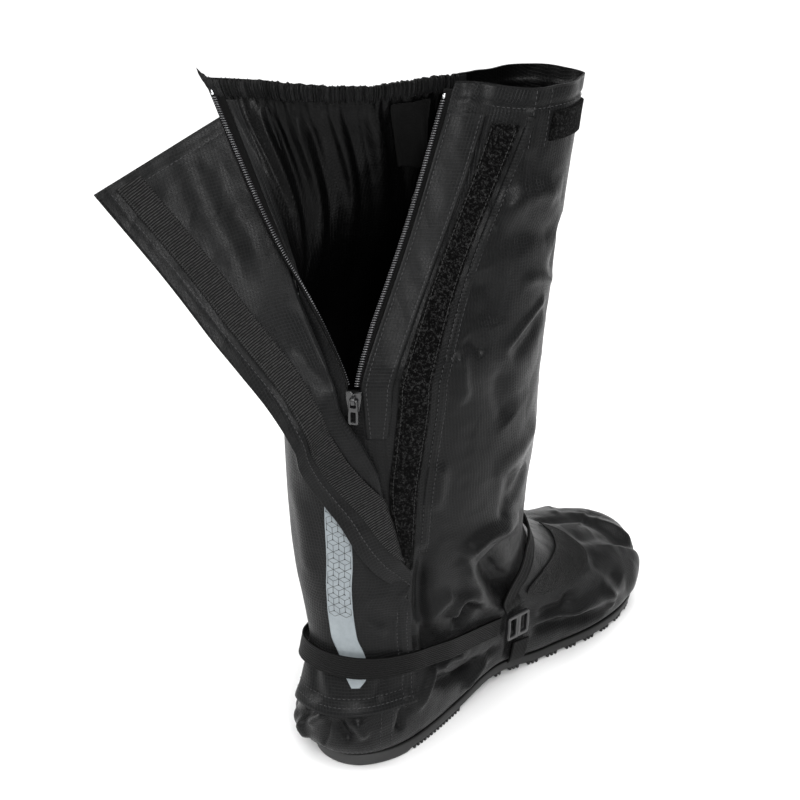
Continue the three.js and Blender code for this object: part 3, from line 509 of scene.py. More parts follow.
rng = np.random.default_rng(7)
TUNNEL_FROM = 0.53
TUNNEL_TO = 0.985
PLEATS = 64
pleat_marks = np.cumsum(rng.uniform(0.6, 1.4, PLEATS))
pleat_marks = TUNNEL_FROM + (TUNNEL_TO - TUNNEL_FROM) * pleat_marks / pleat_marks[-1]
pleat_phase = np.pi * 2 * np.arange(PLEATS)


def gather_wave(u, step):
    """Uneven wave over the gathered stretch of the collar; step joins several pleats into one fold."""
    phase = np.interp(u, pleat_marks, pleat_phase) / step
    return np.cos(phase) + 0.35 * np.cos(2.1 * phase + 1.3)


def gather_relief(z, u):
    below = np.maximum(SHAFT_HEIGHT - TUNNEL_HEIGHT - z, 0)
    inside = ease((u - TUNNEL_FROM) / 0.04) * ease((TUNNEL_TO - u) / 0.02)
    lean = u + 0.0006 * below
    fine = 0.7 * gather_wave(u + 0.006, 2.7) * np.exp(-below / 7)
    middle = 1.2 * gather_wave(lean, 5.3) * np.exp(-below / 24)
    large = 3.0 * gather_wave(lean + 0.02, 11.0) * np.exp(-((below - 10) / 60) ** 2)
    grown = 0.2 + 0.8 * ease(below / 26)
    return inside * (fine + grown * (middle + large))


def relief(s, angle, points):
    """How far the cloth stands off the plain form."""
    s, angle = np.broadcast_arrays(np.asarray(s, float), np.asarray(angle, float))
    u = u_at(angle)
    z = points[..., 2]
    opened = s > LAST_ROW
    soft = 0.55 * value_noise(points, 34, 3) + 0.3 * value_noise(points, 15, 5)
    crisp = 0.22 * (1 - 2 * np.abs(value_noise(points + 300, 11, 9)))
    total = soft + crisp + folds_at(points)
    total = total + np.where(opened, gather_relief(z, u), 0)
    below = SHAFT_HEIGHT - z
    plain = ease((TUNNEL_FROM - u) / 0.03)
    hem = 0.35 * ease((TUNNEL_HEIGHT - below) / 2) - 0.7 * np.exp(-((below - TUNNEL_HEIGHT) / 1.0) ** 2)
    rim = 0.9 * np.sin(u * 86 + 1.5) * np.exp(-below / 14)
    total = total + np.where(opened, plain * (hem + rim), 0)
    edge = np.minimum(u, 1 - u) * COLLAR_GIRTH * SHAFT_DEPTH
    calm = np.where(opened, ease(edge / 9), ease((SLIDER_HEIGHT + 8 - z) / 30 + edge / 9))
    sole = ease((s - 0.2) / 1.3)
    return total * calm * sole


def cloth(s, angle, offset):
    """Point of the upper with its relief, at an offset from the outer face."""
    point, normal = place_base(s, angle)
    return point + normal * (relief(s, angle, point) + offset)[..., None], normal


# Materials. The ripstop grid's pitch and the half width of its threads, as a share of the pitch
GRID_PITCH = 2.1
GRID_LINE = 0.16


def new_material(name, **values):
    """A material with a Principled shader; values go straight to its sockets."""
    mat = bpy.data.materials.new(name)
    mat.use_nodes = True
    shader = mat.node_tree.nodes["Principled BSDF"]
    for key, value in values.items():
        shader.inputs[key.replace("_", " ")].default_value = value
    return mat, mat.node_tree, shader


def paint(tree, shader, value, *stops):
    """Colours the surface by a value, through a ramp of places and colours."""
    link(tree, ramp(tree, value, stops), shader.inputs["Base Color"])


def link(tree, a, b):
    tree.links.new(a, b)


def math_node(tree, operation, a, b=None, c=None):
    node = tree.nodes.new("ShaderNodeMath")
    node.operation = operation
    for i, value in enumerate((a, b, c)):
        if value is None:
            continue
        if isinstance(value, (int, float)):
            node.inputs[i].default_value = value
        else:
            link(tree, value, node.inputs[i])
    return node.outputs[0]


def axes(tree, source="UV"):
    """The two or three coordinates of a point in millimetres."""
    coords = tree.nodes.new("ShaderNodeTexCoord")
    split = tree.nodes.new("ShaderNodeSeparateXYZ")
    link(tree, coords.outputs[source], split.inputs[0])
    return [math_node(tree, "MULTIPLY", split.outputs[i], 1000.0) for i in range(3)]


def noise_node(tree, size, detail=3.0, roughness=0.5, stretch=(1, 1, 1)):
    """Noise over the object, with features of about that size in millimetres."""
    coords = tree.nodes.new("ShaderNodeTexCoord")
    mapping = tree.nodes.new("ShaderNodeMapping")
    mapping.inputs["Scale"].default_value = stretch
    noise = tree.nodes.new("ShaderNodeTexNoise")
    noise.inputs["Scale"].default_value = 1000.0 / size
    noise.inputs["Detail"].default_value = detail
    noise.inputs["Roughness"].default_value = roughness
    link(tree, coords.outputs["Object"], mapping.inputs["Vector"])
    link(tree, mapping.outputs["Vector"], noise.inputs["Vector"])
    return noise.outputs["Fac"]


def ranged(tree, value, low, high, to_low, to_high):
    node = tree.nodes.new("ShaderNodeMapRange")
    node.inputs["From Min"].default_value = low
    node.inputs["From Max"].default_value = high
    node.inputs["To Min"].default_value = to_low
    node.inputs["To Max"].default_value = to_high
    link(tree, value, node.inputs["Value"])
    return node.outputs["Result"]


def ramp(tree, value, stops):
    node = tree.nodes.new("ShaderNodeValToRGB")
    elements = node.color_ramp.elements
    while len(elements) < len(stops):
        elements.new(0.5)
    for element, (place, color) in zip(elements, stops):
        element.position = place
        element.color = (*color, 1)
    link(tree, value, node.inputs["Fac"])
    return node.outputs["Color"]


def bump(tree, shader, height, distance, strength=1.0, below=None):
    """Adds a bump of that height in millimetres, over an earlier one if given."""
    node = tree.nodes.new("ShaderNodeBump")
    node.inputs["Distance"].default_value = distance * MM
    node.inputs["Strength"].default_value = strength
    link(tree, height, node.inputs["Height"])
    if below is not None:
        link(tree, below, node.inputs["Normal"])
    link(tree, node.outputs["Normal"], shader.inputs["Normal"])
    return node.outputs["Normal"]


def wave(tree, value, period):
    """0 to 1 and back over each period."""
    turns = math_node(tree, "MULTIPLY", value, 2 * math.pi / period)
    return math_node(tree, "MULTIPLY_ADD", math_node(tree, "SINE", turns), 0.5, 0.5)


def thread_lines(tree, value, period, width):
    """1 on thin lines at each period, 0 between them."""
    share = math_node(tree, "FRACT", math_node(tree, "DIVIDE", value, period))
    off = math_node(tree, "ABSOLUTE", math_node(tree, "SUBTRACT", share, 0.5))
    return ranged(tree, off, width, width * 0.4, 0.0, 1.0)


def gray(v, tint=0.0):
    return (v * (1 - tint), v, v * (1 + 1.5 * tint))


def nylon(name, dark, light, roughness, grid, sheen=0.02):
    """Ripstop nylon: a raised grid of threads, fine crumple and a satin surface; the threads are painted lighter
    than the cloth between them, a painted highlight.
    """
    mat, tree, shader = new_material(name, Roughness=roughness, Specular_IOR_Level=0.11,
                                     Sheen_Weight=sheen, Sheen_Roughness=0.45)
    u, v, _ = axes(tree)
    across, up = (thread_lines(tree, value, GRID_PITCH, GRID_LINE) for value in (u, v))
    lines = math_node(tree, "MAXIMUM", across, up)
    cloudy = noise_node(tree, 42, 4.0, 0.6)
    grain = noise_node(tree, 0.9, 2.0)
    # Colour: the grid lines are painted lighter by grid, a painted highlight on the raised threads; cloudy and
    # grain vary the tone at random.
    tone = math_node(tree, "MULTIPLY_ADD", lines, grid, cloudy)
    tone = math_node(tree, "MULTIPLY_ADD", grain, 0.25, tone)
    paint(tree, shader, tone, (0.35, gray(dark, 0.02)), (1.0, gray(light, 0.02)))
    rough = ranged(tree, grain, 0.3, 0.7, roughness - 0.05, roughness + 0.09)
    link(tree, rough, shader.inputs["Roughness"])
    crumple = noise_node(tree, 17, 4.0, 0.5)
    broad = noise_node(tree, 46, 2.5, 0.45, (1.0, 1.0, 0.55))
    creases = math_node(tree, "ABSOLUTE", math_node(tree, "SUBTRACT", broad, 0.5))
    first = bump(tree, shader, crumple, 1.6, 0.40)
    folded = bump(tree, shader, creases, 7.0, 0.45, first)
    second = bump(tree, shader, lines, 0.10, 0.9, folded)
    bump(tree, shader, grain, 0.05, 0.6, second)
    return mat


def ribbed(name, base, light, period, height, along, roughness, sheen):
    """Webbing or tape: fine ribs one way and a weave the other; the raised ribs are painted lighter than the
    grooves, a painted highlight on them.
    """
    mat, tree, shader = new_material(name, Roughness=roughness, Specular_IOR_Level=0.12, Sheen_Weight=sheen)
    uv = axes(tree)
    ribs = wave(tree, uv[1 if along else 0], period)
    weave = wave(tree, uv[0 if along else 1], period * 0.62)
    both = math_node(tree, "MULTIPLY", ribs, math_node(tree, "MULTIPLY_ADD", weave, 0.45, 0.55))
    grain = noise_node(tree, 1.4, 3.0)
    # The colour follows the ribs: painted highlight on their crests and painted shade in the grooves between
    # them.
    tone = math_node(tree, "MULTIPLY", both, grain)
    paint(tree, shader, tone, (0.1, gray(base)), (0.5, gray(light)))
    first = bump(tree, shader, both, height, 1.0)
    bump(tree, shader, grain, 0.12, 0.5, first)
    return mat


def fuzzy(name, base, light):
    """Loop side of the tape: a dull pile with small clumps."""
    mat, tree, shader = new_material(name, Roughness=0.97, Specular_IOR_Level=0.05,
                                     Sheen_Weight=0.01, Sheen_Roughness=0.6)
    pile = noise_node(tree, 0.9, 3.0, 0.7)
    clumps = noise_node(tree, 1.9, 3.0, 0.6)
    tone = math_node(tree, "MULTIPLY", pile, clumps)
    paint(tree, shader, tone, (0.24, gray(base)), (0.40, gray(light)))
    first = bump(tree, shader, clumps, 0.7, 0.6)
    bump(tree, shader, pile, 0.5, 1.0, first)
    return mat


def plastic(name, base, roughness, grain_size=0.6, scuff=0.0, coat=0.0, metallic=0.0):
    """Moulded plastic, rubber or metal with a fine grain and worn patches."""
    mat, tree, shader = new_material(name, Roughness=roughness, Metallic=metallic, Coat_Weight=coat,
                                     Coat_Roughness=0.2)
    worn = noise_node(tree, 12, 5.0, 0.65)
    light = [c * (1.35 + scuff) + 0.004 for c in base]
    paint(tree, shader, worn, (0.4, base), (0.8, light))
    link(tree, ranged(tree, worn, 0.3, 0.7, roughness - 0.05, roughness + 0.1), shader.inputs["Roughness"])
    bump(tree, shader, noise_node(tree, grain_size, 3.0), 0.06, 0.5)
    return mat


def sole_rubber(name):
    """Moulded rubber, dull and dark along the foot and paler round the heel."""
    mat, tree, shader = new_material(name, Roughness=0.55, Specular_IOR_Level=0.4)
    _, y, _ = axes(tree, "Object")
    worn = noise_node(tree, 10, 5.0, 0.65)
    place = math_node(tree, "MULTIPLY_ADD", worn, 14.0, y)
    share = ranged(tree, place, -22.0, 14.0, 1.0, 0.0)
    paint(tree, shader, share, (0.0, gray(0.0045)), (1.0, gray(0.028)))
    bump(tree, shader, noise_node(tree, 0.8, 3.0), 0.08, 0.5)
    return mat


def leather(name, base):
    """Grained patch: raised cells with dull grooves between them."""
    mat, tree, shader = new_material(name, Roughness=0.5, Specular_IOR_Level=0.2)
    coords = tree.nodes.new("ShaderNodeTexCoord")
    cells = tree.nodes.new("ShaderNodeTexVoronoi")
    cells.feature = "DISTANCE_TO_EDGE"
    cells.inputs["Scale"].default_value = 1000.0 / 1.9
    link(tree, coords.outputs["Object"], cells.inputs["Vector"])
    edge = ranged(tree, cells.outputs["Distance"], 0.0, 0.22, 0.0, 1.0)
    tone = noise_node(tree, 16, 3.0)
    paint(tree, shader, tone, (0.35, gray(base)), (0.75, gray(base * 1.9)))
    link(tree, ranged(tree, edge, 0, 1, 0.75, 0.5), shader.inputs["Roughness"])
    bump(tree, shader, edge, 0.45, 1.0)
    return mat


def film(name):
    """Silver reflective film with faint rubbed marks."""
    mat, tree, shader = new_material(name, Metallic=0.25)
    worn = noise_node(tree, 7, 5.0, 0.7)
    paint(tree, shader, worn, (0.3, (0.19, 0.215, 0.23)), (0.7, (0.25, 0.28, 0.295)))
    link(tree, ranged(tree, worn, 0.3, 0.7, 0.38, 0.55), shader.inputs["Roughness"])
    bump(tree, shader, noise_node(tree, 0.5, 2.0), 0.03, 0.5)
    return mat


MAT = {
    "nylon": nylon("nylon_outer", 0.0016, 0.0070, 0.32, 0.38),
    "lining": nylon("nylon_lining", 0.0006, 0.002, 0.33, 0.06, 0.0),
    "flap": nylon("nylon_flap", 0.0018, 0.0080, 0.34, 0.40),
    "band": nylon("nylon_band", 0.0020, 0.008, 0.36, 0.3),
    "rubber": sole_rubber("sole_rubber"),
    "loop": fuzzy("loop_pile", 0.0003, 0.022),
    "hook": ribbed("hook_tape", 0.0006, 0.044, 1.5, 0.6, True, 0.6, 0.0),
    "tape": ribbed("zip_tape", 0.0008, 0.004, 0.9, 0.12, True, 0.9, 0.02),
    "webbing": ribbed("webbing_ribs", 0.0006, 0.006, 1.45, 0.45, False, 0.6, 0.0),
    "zip": plastic("zip_gloss", (0.006, 0.006, 0.0065), 0.22, 0.5, 0.3, 0.4),
    # Zip teeth: the same black plastic as the slider, with a lighter base colour that is a painted highlight for
    # their bright specks; the coat adds real reflections too.
    "teeth": plastic("zip_teeth_painted_highlight", (0.045, 0.045, 0.048), 0.16, 0.5, 0.3, 1.0),
    "buckle": plastic("buckle_plastic", (0.008, 0.008, 0.0085), 0.33, 0.5, 0.3, 0.2),
    "metal": plastic("stop_metal", (0.62, 0.63, 0.64), 0.25, 0.4, 0.0, 0.0, 1.0),
    "patch": leather("wear_patch", 0.0014),
    "reflective": film("silver_film"),
    "ink": plastic("stripe_ink", (0.012, 0.013, 0.014), 0.6),
    "thread": plastic("sewing_thread", (0.022, 0.022, 0.023), 0.7),
    "thread_dark": plastic("sewing_thread_dark", (0.004, 0.004, 0.004), 0.7),
}


# Meshes
def make_piece(name, verts, faces, material, uv=None, body_name="boot", slot=None, stands_for=()):
    """A piece from points in millimetres; faces is an array of quads or triangles, or a list."""
    mesh = bpy.data.meshes.new(name)
    verts = np.asarray(verts, float).reshape(-1, 3) * MM
    rows = faces.tolist() if hasattr(faces, "tolist") else faces
    mesh.from_pydata(verts.tolist(), [], rows)
    if uv is not None:
        layer = mesh.uv_layers.new(name="UVMap")
        index = np.zeros(len(mesh.loops), np.int64)
        mesh.loops.foreach_get("vertex_index", index)
        layer.data.foreach_set("uv", (np.asarray(uv, float).reshape(-1, 2)[index] * MM).ravel())
    mesh.polygons.foreach_set("use_smooth", np.ones(len(mesh.polygons), bool))
    mesh.materials.append(material)
    mesh.update()
    piece = bpy.data.objects.new(name, mesh)
    bpy.context.scene.collection.objects.link(piece)
    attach(piece, body_name)
    if stands_for:
        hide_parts(*stands_for)
    return piece


def grid_faces(rows, cols, start=0, flip=False, wrap=False):
    i = np.arange(rows - 1)[:, None]
    j = np.arange(cols if wrap else cols - 1)[None, :]
    k = (j + 1) % cols
    a = start + i * cols + j
    b = start + i * cols + k
    c = start + (i + 1) * cols + k
    d = start + (i + 1) * cols + j
    quads = np.stack([a, b, c, d], -1).reshape(-1, 4)
    return quads[:, ::-1] if flip else quads


def grid_uv(points):
    """Arc lengths across and up a grid of points, from its middle column and first row."""
    across = np.linalg.norm(np.diff(points, axis=1), axis=2)
    across = np.concatenate([np.zeros((len(points), 1)), np.cumsum(across, axis=1)], 1)
    across -= across[:, points.shape[1] // 2][:, None]
    up = np.linalg.norm(np.diff(points, axis=0), axis=2)
    up = np.concatenate([np.zeros((1, points.shape[1])), np.cumsum(up, axis=0)], 0)
    return np.stack([across, up], -1)


def grid_normals(points):
    return unit(np.cross(np.gradient(points, axis=1), np.gradient(points, axis=0)))


def sheet_mesh(inner, outer):
    """Points and quads of a sheet with two faces and closed edges, from two grids."""
    rows, cols = inner.shape[:2]
    count = rows * cols
    verts = np.concatenate([inner.reshape(-1, 3), outer.reshape(-1, 3)])
    index = np.arange(count).reshape(rows, cols)
    loop = np.concatenate([index[0, :-1], index[:-1, -1], index[-1, :0:-1], index[:0:-1, 0]])
    after = np.roll(loop, -1)
    rim = np.stack([loop, after, after + count, loop + count], -1)
    faces = np.concatenate([grid_faces(rows, cols, count), grid_faces(rows, cols, 0, flip=True), rim])
    return verts, faces


def sheet_piece(name, inner, outer, material, **kind):
    verts, faces = sheet_mesh(inner, outer)
    uv = grid_uv(outer)
    return make_piece(name, verts, faces, material, np.concatenate([uv.reshape(-1, 2)] * 2), **kind)


def even_stations(low, high, count):
    """Stations at even steps up the upper, by the longest of eight lines up it."""
    fine = np.linspace(low, high, 900)
    angles = np.arange(8) * 45.0 + 52
    lines = place_base(fine[:, None], angles[None, :])[0]
    steps = np.linalg.norm(np.diff(lines, axis=0), axis=2).max(1)
    run = np.concatenate([[0], np.cumsum(steps)])
    return np.interp(np.linspace(0, run[-1], count), run, fine)


def shell_faces(rows_closed, rows, cols, flip):
    """Quads of a shell grid: the closed part joins across the zip gap, the opened part doesn't."""
    quads = [grid_faces(rows, cols)]
    i = np.arange(rows_closed - 1)
    quads.append(np.stack([i * cols + cols - 1, i * cols, (i + 1) * cols, (i + 1) * cols + cols - 1], -1))
    quads = np.concatenate(quads)
    return quads[:, ::-1] if flip else quads


def build_shell():
    """The upper's outer face and its lining, open at the collar, at the zip and underneath."""
    closed_rows, open_rows, cols = 190, 96, 330
    closed = even_stations(0.0, LAST_ROW, closed_rows)
    opened = even_stations(LAST_ROW, LAST_ROW + 1.0, open_rows)[1:]
    s = np.concatenate([closed, opened])[:, None]
    angle = angle_at(np.linspace(0, 1, cols))[None, :]
    rows = len(s)
    outer = cloth(s, angle, 0.0)[0]
    inner_edge = cloth(s, angle, -WALL)[0]
    uv = grid_uv(outer)
    verts = [outer.reshape(-1, 3)]
    faces = [shell_faces(closed_rows, rows, cols, False)]
    uvs = [uv.reshape(-1, 2)]
    # The edges turn in to meet the lining.
    index = np.arange(rows * cols).reshape(rows, cols)
    low = np.append(index[0], index[0, 0])
    high = np.concatenate([index[closed_rows - 1:, 0], index[-1, 1:], index[-2:closed_rows - 2:-1, -1]])
    start = rows * cols
    for line in (low[::-1], high):
        verts.append(inner_edge.reshape(-1, 3)[line])
        uvs.append(uv.reshape(-1, 2)[line])
        k = np.arange(len(line) - 1)
        faces.append(np.stack([line[k], start + k, start + k + 1, line[k + 1]], -1))
        start += len(line)
    make_piece("upper_shell", np.concatenate(verts), np.concatenate(faces), MAT["nylon"],
               np.concatenate(uvs), slot="nylon", stands_for=("upper",))
    make_piece("upper_lining", inner_edge.reshape(-1, 3), shell_faces(closed_rows, rows, cols, True),
               MAT["lining"], grid_uv(inner_edge), slot="nylon", stands_for=("upper",))


build_shell()


# Storm flap, a row for each stage: seam and roll are angles round the leg, the edge a point in
# shares of the shaft's depth with a stage.
FLAP_ROWS = np.array((
    (0.174, 342, 404, 0.235, -0.030, 0.174),
    (0.235, 342, 405, 0.215, -0.030, 0.235),
    (0.339, 342, 407, 0.200, -0.030, 0.339),
    (0.389, 342, 411, 0.215, -0.030, 0.389),
    (0.462, 342, 415, 0.222, -0.028, 0.459),
    (0.629, 342, 415, 0.150, -0.180, 0.581),
    (0.733, 342, 413, 0.072, -0.232, 0.680),
    (0.844, 342, 410, -0.018, -0.268, 0.753),
    (0.921, 343, 400, -0.030, -0.320, 0.811),
    (1.025, 345, 396, -0.040, -0.352, 0.889),
    (1.275, 352, 390, -0.293, -0.390, 1.087),
    (1.541, 365, 385, -0.524, -0.448, 1.348),
    (1.909, 371, 384, -0.789, -0.531, 1.640),
))
CLOSED_BELOW = 0.462
ROLL_HEIGHT = 4.0
HEM_REACH = 7.0
LAYER_BLEND = 60.0
OPEN_SEAT = LAYER + 0.4
LEAST_ROLL = 3.0
LEAST_FREE = 7.0
HEM_WIDTH = 8.0
FLAP_SPLIT = (44, 18, 44)
FLAP_LEVELS = 20


def flap_path(z):
    """Line of the flap's inner side at a height: along the skin, round the roll, to the free edge."""
    keys = stage_height(FLAP_ROWS[:, 0])
    seam, roll, edge_x, edge_y, edge_stage = (float(smooth(keys, FLAP_ROWS[:, i], z)) for i in range(1, 6))
    seam_u = float(u_at(seam))
    roll_u = float(u_at(roll))
    if z > SLIDER_HEIGHT:
        roll_u = min(roll_u, 1.0)
    blend = min(max((z - SLIDER_HEIGHT) / LAYER_BLEND, 0), 1)
    off = FLAP_SEAT + (OPEN_SEAT - FLAP_SEAT) * blend
    runs = 24
    u = np.linspace(seam_u, roll_u, runs + 1)
    point, normals = skin_base(np.full(runs + 1, z), u)
    lying = point + normals * off
    if z < CLOSED_BELOW * SLIDER_HEIGHT:
        return lying, runs, runs
    end = lying[-1]
    along = unit(end - lying[-2])
    normal = normals[-1]
    edge = np.array([edge_x * SHAFT_DEPTH, edge_y * SHAFT_DEPTH, float(stage_height(edge_stage))])
    reach = np.linalg.norm(edge - end)
    radius = min(ROLL_HEIGHT / 2, reach / 4)
    middle = end + normal * radius
    aim = edge - middle
    turn = math.atan2(aim @ normal, aim @ along)
    if turn > 0.2:
        a = turn * np.arange(1, 9) / 8
        bend = middle - np.cos(a)[:, None] * radius * normal + np.sin(a)[:, None] * radius * along
    else:
        bend = (end + along * HEM_REACH)[None]
    return np.concatenate([lying, bend, edge[None]]), runs, runs + len(bend)


def flap_row(z):
    """The flap's inner side at a height, with even steps before, in and after the roll."""
    path, roll_from, roll_to = flap_path(z)
    run = run_along(path)
    total = run[-1]
    roll_end = min(run[roll_to], total - LEAST_FREE)
    roll_start = min(run[roll_from], roll_end - LEAST_ROLL)
    marks = (0, roll_start, roll_end, total)
    s = [np.linspace(marks[i], marks[i + 1], n, endpoint=False) for i, n in enumerate(FLAP_SPLIT)]
    s = np.append(np.concatenate(s), total)
    return read_line(s, run, path)


flap_levels = np.linspace(FLAP_HEM, FLAP_TOP, FLAP_LEVELS + 1)
flap_control = np.stack([flap_row(z) for z in flap_levels])
FLAP_COLS = flap_control.shape[1]


def flap_field(count):
    """The flap's rows, drawn smoothly through the levels."""
    s = np.linspace(0, 1, count) * FLAP_LEVELS
    keys = np.arange(FLAP_LEVELS + 1.0)
    flat = flap_control.reshape(FLAP_LEVELS + 1, -1)
    i = np.clip(np.searchsorted(keys[1:-1], s, side="left"), 0, FLAP_LEVELS - 1)
    f = (s - i)[:, None]
    low = np.maximum(i - 1, 0)
    high = np.minimum(i + 2, FLAP_LEVELS)
    a, b = flat[i], flat[i + 1]
    ma = (b - flat[low]) / np.where(i > 0, 2, 1)[:, None]
    mb = (flat[high] - a) / np.where(i < FLAP_LEVELS - 1, 2, 1)[:, None]
    f2 = f * f
    f3 = f2 * f
    out = (2 * f3 - 3 * f2 + 1) * a + (f3 - 2 * f2 + f) * ma + (3 * f2 - 2 * f3) * b + (f3 - f2) * mb
    out = out.reshape(count, FLAP_COLS, 3)
    # The row is eased across, so that the roll's start and end don't show as corners.
    for _ in range(6):
        out[:, 1:-1] = 0.5 * out[:, 1:-1] + 0.25 * (out[:, :-2] + out[:, 2:])
    return out


FLAP_COUNT = 210
flap_plain = flap_field(FLAP_COUNT)
flap_out = grid_normals(flap_plain)
# The outer face looks away from the leg where the flap lies on it.
LEG_MIDDLE = (0, 40, 0)
from_leg = (flap_plain[10, 10] - LEG_MIDDLE) * (1, 1, 0)
if flap_out[10, 10] @ from_leg < 0:
    flap_out = -flap_out


def flap_share(z):
    """Share of the flap's height."""
    return (z - FLAP_HEM) / (FLAP_TOP - FLAP_HEM)


# Folds of the flap: depth and width in mm, then stages and shares of the width from end to end
FLAP_FOLDS = (
    (1.6, 4.0, ((0.420, 0.62), (0.400, 0.72), (0.380, 0.84))),
    (-1.5, 4.5, ((0.480, 0.66), (0.440, 0.74), (0.400, 0.90))),
    (1.5, 4.0, ((0.290, 0.70), (0.250, 0.66), (0.205, 0.64))),
    (-1.4, 3.5, ((0.300, 0.80), (0.250, 0.72), (0.200, 0.70))),
    (1.5, 3.5, ((0.320, 0.86), (0.280, 0.92), (0.230, 0.84))),
    (1.4, 4.0, ((0.290, 0.30), (0.250, 0.34), (0.205, 0.42))),
    (-1.5, 4.0, ((0.300, 0.18), (0.250, 0.24), (0.200, 0.30))),
    (1.8, 8.0, ((0.760, 0.18), (0.620, 0.24), (0.480, 0.20))),
    (-2.0, 9.0, ((0.720, 0.62), (0.600, 0.68), (0.470, 0.70))),
    (1.5, 9.0, ((1.900, 0.34), (1.640, 0.38), (1.300, 0.36))),
    (-1.5, 9.0, ((1.900, 0.50), (1.640, 0.54), (1.350, 0.50))),
    (-1.4, 6.0, ((1.300, 0.34), (1.180, 0.42), (1.060, 0.50))),
    (1.4, 6.0, ((1.200, 0.56), (1.120, 0.60), (1.000, 0.58))),
)


def flap_folds(run, t):
    """Sum of the flap's folds over its grid, by distance in the cloth."""
    last = len(t) - 1
    total = np.zeros(t.shape)
    for depth, width, marks in FLAP_FOLDS:
        marks = np.array(marks, float)
        keys = np.arange(float(len(marks)))
        steps = np.linspace(0, keys[-1], 17)
        z = smooth(keys, stage_height(marks[:, 0]), steps)
        share = smooth(keys, marks[:, 1], steps)
        row = np.clip((flap_share(z) * last).astype(int), 0, last)
        line = np.stack([[np.interp(b, t[r], run[r, :, k]) for r, b in zip(row, share)] for k in (0, 1)], -1)
        gap, place = nearest(run, line)
        total += depth * np.exp(-(gap / width) ** 2) * ends(place, 0.3)
    return total


def flap_relief():
    """How far the flap's cloth stands off its plain form: waves, folds, puckered hems and lifted edges."""
    run = grid_uv(flap_plain)
    from_seam = run[..., 0] - run[:, :1, 0]
    from_edge = run[:, -1:, 0] - run[..., 0]
    from_hem = run[..., 1]
    from_top = run[-1, :, 1] - from_hem
    t = from_seam / from_seam[:, -1:]
    z = flap_plain[..., 2]
    lying = ease((0.62 - t) / 0.3) * ease((200 - z) / 60)
    big = 1.0 * value_noise(flap_plain, 46, 21) + 0.45 * value_noise(flap_plain, 19, 22)
    crisp = 0.25 * (1 - 2 * np.abs(value_noise(flap_plain + 90, 12, 23)))
    pucker = 0.22 * np.sin(from_hem * 2 * np.pi / 7.5 + 2 * value_noise(flap_plain, 20, 24))
    hem = np.exp(-((from_edge - HEM_WIDTH) / 3.0) ** 2)
    groove = -0.5 * np.exp(-((from_edge - HEM_WIDTH) / 1.1) ** 2)
    groove += -0.5 * np.exp(-((from_top - HEM_WIDTH) / 1.1) ** 2)
    free = ease((t - 0.1) / 0.2)
    lift = 3.0 * ease((14 - from_edge) / 14) * ease((150 - z) / 40)
    lift += 2.0 * ease((12 - from_hem) / 12) * ease(t / 0.1)
    lap = ease((z - 95) / 30) * ease((t - 0.15) / 0.2)
    sewn = -(1.0 + 1.2 * ease((SLIDER_HEIGHT - z) / 40)) * ease((6 - from_seam) / 6)
    sag = 0.5 * np.sin(from_hem / 23 + 2.2 * t) * ease((z - 290) / 60) * np.exp(-((t - 0.45) / 0.2) ** 2)
    waves = lying * 0.6 * big + free * (0.5 * big + crisp) * lap
    return waves + 0.5 * pucker * hem + groove + lift + sag + sewn + flap_folds(run, t)


flap_face = flap_plain + flap_out * flap_relief()[..., None]


def flap_point(s, t, depth):
    """Point of the finished flap by height share, width share and distance out from its inner face."""
    rows, cols = flap_face.shape[:2]
    i = np.clip(np.asarray(s, float) * (rows - 1), 0, rows - 1.001)
    run = grid_uv(flap_plain)[..., 0]
    share = (run - run[:, :1]) / (run[:, -1:] - run[:, :1])
    i0 = i.astype(int)
    f = i - i0
    i0, f, t = np.broadcast_arrays(i0, f, np.asarray(t, float))
    shape = t.shape
    i0, f, t = i0.ravel(), f.ravel(), t.ravel()
    out = np.zeros((len(t), 3))
    for side, weight in ((0, 1 - f), (1, f)):
        for k in np.unique(i0):
            here = i0 == k
            row = min(k + side, rows - 1)
            col = np.interp(t[here], share[row], np.arange(cols))
            c0 = np.minimum(col.astype(int), cols - 2)
            g = (col - c0)[:, None]
            p = flap_face[row, c0] * (1 - g) + flap_face[row, c0 + 1] * g
            n = flap_out[row, c0] * (1 - g) + flap_out[row, c0 + 1] * g
            out[here] += weight[here][:, None] * (p + n * depth)
    return out.reshape(shape + (3,))


def build_flap():
    """The flap's piece, with its flat width, length and area in metres."""
    piece = sheet_piece("storm_flap", flap_face, flap_face + flap_out * FLAP_THICKNESS, MAT["flap"],
                        slot="nylon", stands_for=("rear_flap",))
    run = grid_uv(flap_face)
    one_way = flap_face[1:, 1:] - flap_face[:-1, :-1]
    other_way = flap_face[1:, :-1] - flap_face[:-1, 1:]
    area = np.linalg.norm(np.cross(one_way, other_way), axis=2).sum() / 2 * MM * MM
    width = float((run[:, -1, 0] - run[:, 0, 0]).max()) * MM
    length = float(run[..., 1].max()) * MM
    return piece, width, length, area


flap_piece, flap_width, flap_length, flap_area = build_flap()


# Tapes and panels. The rows of each table give a stage, and two places that the tape runs between.
def table_rows(rows, up):
    """Heights up a table of rows, with the smooth values of its two places there."""
    rows = np.array(rows, float)
    keys = stage_height(rows[:, 0])
    z = np.linspace(keys[0], keys[-1], up)
    return z, smooth(keys, rows[:, 1], z), smooth(keys, rows[:, 2], z)


def tape_piece(name, rows, offset, thickness, material, up, across, edge, **kind):
    """A tape on the skin between two u; edge is how much its long edges are rounded off."""
    z, a, b = table_rows(rows, up)
    t = np.linspace(0, 1, across)
    angle = angle_at(a[:, None] + (b - a)[:, None] * t)
    inner, normal = cloth(station_of(z[:, None], angle), angle, offset)
    round_off = np.sin(np.pi * np.clip(t * 6, 0, 0.5)) * np.sin(np.pi * np.clip((1 - t) * 6, 0, 0.5))
    crown = 1 - edge * (1 - round_off)
    outer = inner + normal * (thickness * crown)[None, :, None]
    return sheet_piece(name, inner, outer, material, **kind)


